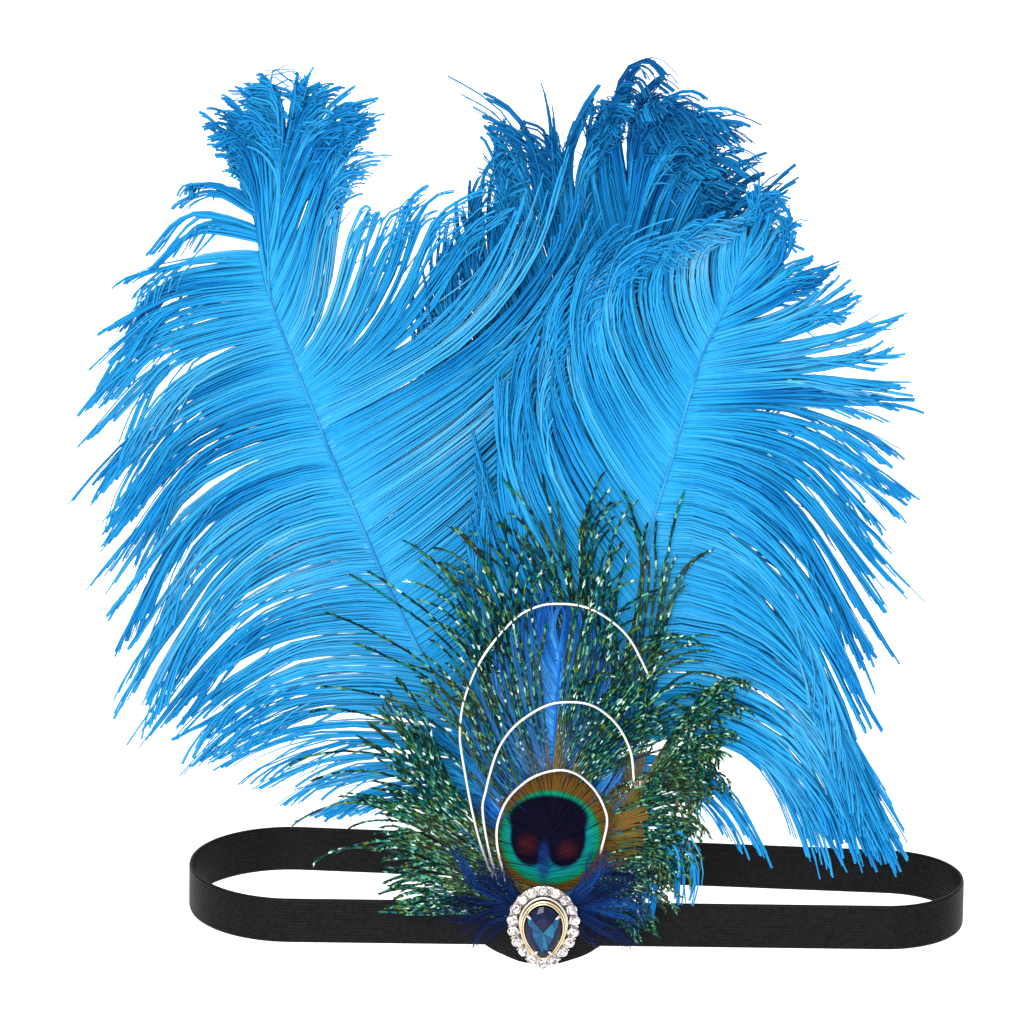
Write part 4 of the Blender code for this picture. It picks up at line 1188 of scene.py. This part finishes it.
def felt_backing(material):
    """Round felt with a soft, slightly uneven edge."""
    middle_y = BAND_FRONT_Y + BAND_THICKNESS / 2 + SEAT_GAP + FELT_THICKNESS / 2
    outline = [(r, -d) for r, d in reversed(FELT_PROFILE)] + list(FELT_PROFILE)
    rings = []
    for radius, depth in outline:
        ring = []
        for k in range(FELT_SIDES):
            turn = 2 * math.pi * k / FELT_SIDES
            uneven = 1 + 0.004 * math.sin(7 * turn) + 0.003 * math.sin(17 * turn + 1)
            reach = FELT_RADIUS * radius * uneven
            ring.append(Vector((ORNAMENT_X + reach * math.cos(turn), middle_y + depth * FELT_THICKNESS / 2,
                                FELT_CENTRE_Z + reach * math.sin(turn))) * MM)
        rings.append(ring)
    put_in_place("felt_round", "felt", ["felt_backing"], coloured(loft("felt", rings), material))


def curled_wire(which, material):
    path = [layer_point("wire_" + which, p.x, p.y, 0.5) for p in smooth_path(WIRES[which], WIRE_STEPS)]
    radii = [WIRE_DIAMETER / 2 * MM * (1 if 0 < k < len(path) - 1 else 0.6) for k in range(len(path))]
    name = "silver_wire_" + which
    put_in_place(name + "_round", "silver_wire", [name], coloured(tube(path, radii, 10), material))


def pear_point(pear, angle):
    """Point of a pear outline, angle from its round top, the point of the pear below."""
    half_width, half_height, narrowing = pear
    pinch = 1 - narrowing * ((1 - math.cos(angle)) / 2) ** 3
    return np.array([half_width * math.sin(angle) * pinch, half_height * math.cos(angle)])


def pear_outline(pear, count, offset=0.0):
    """Evenly spaced points of a pear outline, moved outwards by the offset."""
    fine = [pear_point(pear, 2 * math.pi * k / PEAR_STEPS) for k in range(PEAR_STEPS + 1)]
    out = []
    for k in range(count):
        way = point_along(fine, (k + 0.3) / count) - point_along(fine, ((k - 0.3) / count) % 1.0)
        out.append(point_along(fine, k / count) + left_of(way) * offset)
    return out


def brooch_place(point, depth):
    return Vector((ORNAMENT_X + point[0], FACE_Y - BROOCH_BACK - depth, BROOCH_CENTRE_Z + point[1])) * MM


def stone_line(count, share=1.0, offset=0.0):
    """Points round the pear stone, or round a smaller share of it."""
    half_width, half_height, narrowing = STONE_PEAR
    outline = pear_outline((half_width * share, half_height * share, narrowing), count, offset)
    return [p + np.array([0.0, STONE_CENTRE_Z]) for p in outline]


def brooch_setting(silver, gold):
    """Setting with a cup under each stone, shared prongs, a double rim and four claws."""
    base = [[brooch_place(p, depth) for p in pear_outline(HALO_PEAR, SETTING_STEPS, offset)]
            for offset, depth in SETTING_PROFILE]
    meshes = [coloured(loft("base", base), silver)]
    turns = [math.radians(360 / CUP_SIDES * k) for k in range(CUP_SIDES)]
    for middle in pear_outline(HALO_PEAR, HALO_STONES):
        cup = [[brooch_place(middle + unit(turn) * (HALO_STONE_RADIUS + offset), depth) for turn in turns]
               for offset, depth in CUP_PROFILE]
        meshes.append(coloured(loft("cup", cup), silver))
    for between in pear_outline(HALO_PEAR, HALO_STONES * 2)[1::2]:
        outwards = between / np.linalg.norm(between)
        for offset in (-PRONG_OFFSET, PRONG_OFFSET):
            place = brooch_place(between + outwards * offset, HALO_GIRDLE + PRONG_RISE)
            meshes.append(coloured(bead(place, PRONG_RADIUS * MM, PRONG_STRETCH), silver))
    for offset, radius, depth in RIMS:
        path = [brooch_place(p, depth) for p in stone_line(RIM_STEPS, offset=offset)]
        meshes.append(coloured(tube(path, [radius * MM] * RIM_STEPS, closed=True), gold))
    for angle in CLAW_ANGLES:
        turn = math.radians(angle)
        edge = pear_point(STONE_PEAR, turn) + np.array([0.0, STONE_CENTRE_Z])
        outwards = np.array([math.sin(turn), math.cos(turn)])
        path = [brooch_place(edge + outwards * offset, depth) for offset, depth, radius in CLAW]
        meshes.append(coloured(tube(path, [radius * MM for offset, depth, radius in CLAW]), silver))
    put_in_place("brooch_setting_fine", "silver_setting", ["brooch_setting"], *meshes)


def halo_stones(material):
    dice = np.random.default_rng(HALO_SEED)
    meshes = []
    for middle in pear_outline(HALO_PEAR, HALO_STONES):
        spin = dice.uniform(0, 0.8)
        rings = []
        for cut in HALO_CUT:
            share, depth, sides = cut
            turn = spin + (math.pi / sides if cut is HALO_CUT[-1] else 0)
            radius = HALO_STONE_RADIUS * share
            rings.append([brooch_place(middle + radius * unit(turn + 2 * math.pi * k / sides),
                                       HALO_GIRDLE + depth) for k in range(sides)])
        # Each facet's tone is drawn at random: painted reflections in the clear stone.
        draws = dice.uniform(0, 1, FACET_DRAWS)
        meshes.append(coloured(facet_mesh("stone", rings, lambda k, at: float(draws[k])), material))
    names = [f"halo_stone_{number:02d}" for number in range(1, HALO_STONES + 1)]
    put_in_place("halo_stones_cut", "clear_stone", names, *meshes)


def pear_stone(material):
    """The pear stone in tones of its teal glass; its facets lighter at random and two bright streaks that
    meet towards its point are painted reflections.
    """
    draws = np.random.default_rng(PEAR_SEED).uniform(0.0, 0.32, FACET_DRAWS)
    rings = [[brooch_place(p, depth) for p in stone_line(sides, share)] for share, depth, sides in PEAR_CUT]

    def tone(k, at):
        x = at.x / MM - ORNAMENT_X
        z = at.z / MM - BROOCH_CENTRE_Z - STONE_CENTRE_Z
        off_reflection = abs(abs(x) - REFLECTION_AT[0] - (z - REFLECTION_AT[1]) * REFLECTION_SLOPE)
        bright = off_reflection < REFLECTION_HALF_WIDTH and REFLECTION_FROM < z < REFLECTION_TO
        return float((0.5 if bright else 0.0) + draws[k])

    put_in_place("pear_stone_cut", "teal_stone", ["pear_stone"],
                 coloured(facet_mesh("pear", rings, tone), material))


# Stage

def camera():
    elevation = math.radians(CAMERA_ELEVATION)
    roll = math.radians(CAMERA_ROLL)
    right = Vector((1, 0, 0))
    up = Vector((0, math.sin(elevation), math.cos(elevation)))
    back = Vector((0, -math.cos(elevation), math.sin(elevation)))
    side = right * math.cos(roll) + up * math.sin(roll)
    top = up * math.cos(roll) - right * math.sin(roll)
    thing = add_object("camera", bpy.data.cameras.new("camera"))
    place = (Vector(CAMERA_TARGET) + back * CAMERA_DISTANCE) * MM
    thing.matrix_world = Matrix.Translation(place) @ Matrix((side, top, back)).transposed().to_4x4()
    thing.data.lens = CAMERA_LENS
    thing.data.clip_end = 20.0
    bpy.context.scene.camera = thing


def light():
    world = bpy.data.worlds.new("studio")
    world.use_nodes = True
    background = world.node_tree.nodes["Background"].inputs
    background[0].default_value = (1.0, 1.0, 1.0, 1.0)
    background[1].default_value = SURROUNDINGS
    bpy.context.scene.world = world
    for name, place, aim, size, power in LAMPS:
        thing = add_object(name, bpy.data.lights.new(name, "AREA"))
        thing.data.size = size
        thing.data.energy = power
        thing.location = place
        thing.rotation_euler = (Vector(place) - Vector(aim)).to_track_quat("Z", "Y").to_euler()
    bpy.context.scene.view_settings.view_transform = "Standard"


def floor():
    bm = bmesh.new()
    bmesh.ops.create_grid(bm, x_segments=1, y_segments=1, size=FLOOR_HALF_SIDE)
    mesh = bpy.data.meshes.new("floor")
    bm.to_mesh(mesh)
    bm.free()
    pale = mottled_material("pale_floor", 0.9, 3.0, (0.93, 0.93, 0.93), (0.95, 0.95, 0.95))
    thing = add_object("floor", coloured(mesh, pale))
    thing.location = (0, 0, FLOOR_Z * MM)


def main():
    camera()
    light()
    floor()
    # The middle plume's materials are darker than the front plumes' ones: painted shade, as it stands behind
    # them.
    azure = plume_material("azure_barbs", 0.0, AZURE, linear(24, 132, 196))
    azure_painted_shade = plume_material("azure_barbs_behind", -0.16, AZURE, linear(20, 112, 164))
    # The broad barbs under the fine ones get lighter copies: painted light that lifts the shade among the
    # barbs.
    under_painted_light = plume_material("azure_down", 0.16, AZURE, linear(30, 146, 206))
    under_painted_light_and_shade = plume_material("azure_down_behind", 0.02, AZURE, linear(24, 124, 180))
    quill = mottled_material("azure_quill", 0.4, 60.0, linear(24, 116, 178), linear(60, 160, 205))
    plume("plume_left", PLUME_LEFT, azure, under_painted_light, quill, seed=11, hairs=2450, blades=920,
          curl=6.0, droop=9.0)
    plume("plume_right", PLUME_RIGHT, azure, under_painted_light, quill, seed=23, hairs=2450, blades=920,
          curl=6.0, droop=7.0)
    plume("plume_middle", PLUME_MIDDLE, azure_painted_shade, under_painted_light_and_shade, quill, seed=37, hairs=2150, blades=1250,
          curl=8.0, droop=14.0)

    herl = herl_material()
    stem = mottled_material("peacock_stem", 0.4, 90.0, linear(60, 60, 30), linear(140, 130, 80))
    put_in_place("peacock_front", "peacock_green", ["peacock_feather_front"],
                 herls(PEACOCK_FRONT, herl, seed=5, count=235, front=2.6),
                 eye_mesh(PEACOCK_FRONT, FRONT_EYE, eye_material(), seed=6, count=700, depth=1.6),
                 quill_mesh(PEACOCK_FRONT, stem, 0.6, 0.3, share=0.3, reach=0.5))
    put_in_place("peacock_back", "peacock_green", ["peacock_feather_back"],
                 herls(PEACOCK_BACK, herl, seed=8, count=330, front=1.0),
                 eye_mesh(PEACOCK_BACK, BACK_EYE, back_eye_material(), seed=9, count=240, depth=2.4),
                 quill_mesh(PEACOCK_BACK, stem, 0.6, 0.3, share=0.3, reach=0.8))

    royal = plume_material("royal_barbs", 0.3, ROYAL, linear(30, 88, 180))
    deep = plume_material("royal_barbs_foot", -0.42, ROYAL, linear(18, 30, 90))
    soft_feather("blue_hackle", HACKLE, "blue_hackle_back", royal, seed=51, hairs=620, blades=440,
                 thick=0.85, loose=1.0)
    for name, design, seed in (("tuft_left", TUFT_LEFT, 61), ("tuft_right", TUFT_RIGHT, 71)):
        soft_feather(name, design, "blue_" + name, deep, seed=seed, hairs=150, blades=4,
                     thick=0.12, loose=2.2)

    elastic_band(mottled_material(
        "black_elastic", 0.45, 900.0, (0.003, 0.003, 0.0035), (0.009, 0.009, 0.010), fineness=0.6,
        specular=0.06, relief=(2600.0, 0.25, 0.0001)))
    felt_backing(mottled_material(
        "black_felt", 0.95, 1500.0, (0.005, 0.005, 0.006), (0.02, 0.02, 0.022), detail=3.0, fineness=0.7,
        specular=0.04, relief=(1500.0, 0.5, 0.0003)))
    wire = metal_material("silver_wire", (0.93, 0.91, 0.87), 0.28)
    for which in WIRES:
        curled_wire(which, wire)
    brooch_setting(metal_material("silver_setting", (0.72, 0.68, 0.62), 0.25),
                   metal_material("pale_gold_rim", (0.84, 0.70, 0.46), 0.22))
    halo_stones(stone_material("clear_cut_glass", 0.35, tones(
        (0.0, 74, 68, 72), (0.3, 142, 132, 134), (0.6, 206, 198, 198), (1.0, 250, 247, 244))))
    pear_stone(stone_material("teal_cut_glass", 0.25, tones(
        (0.0, 6, 10, 34), (0.35, 14, 30, 66), (0.7, 16, 78, 116), (1.0, 40, 134, 166))))


main()
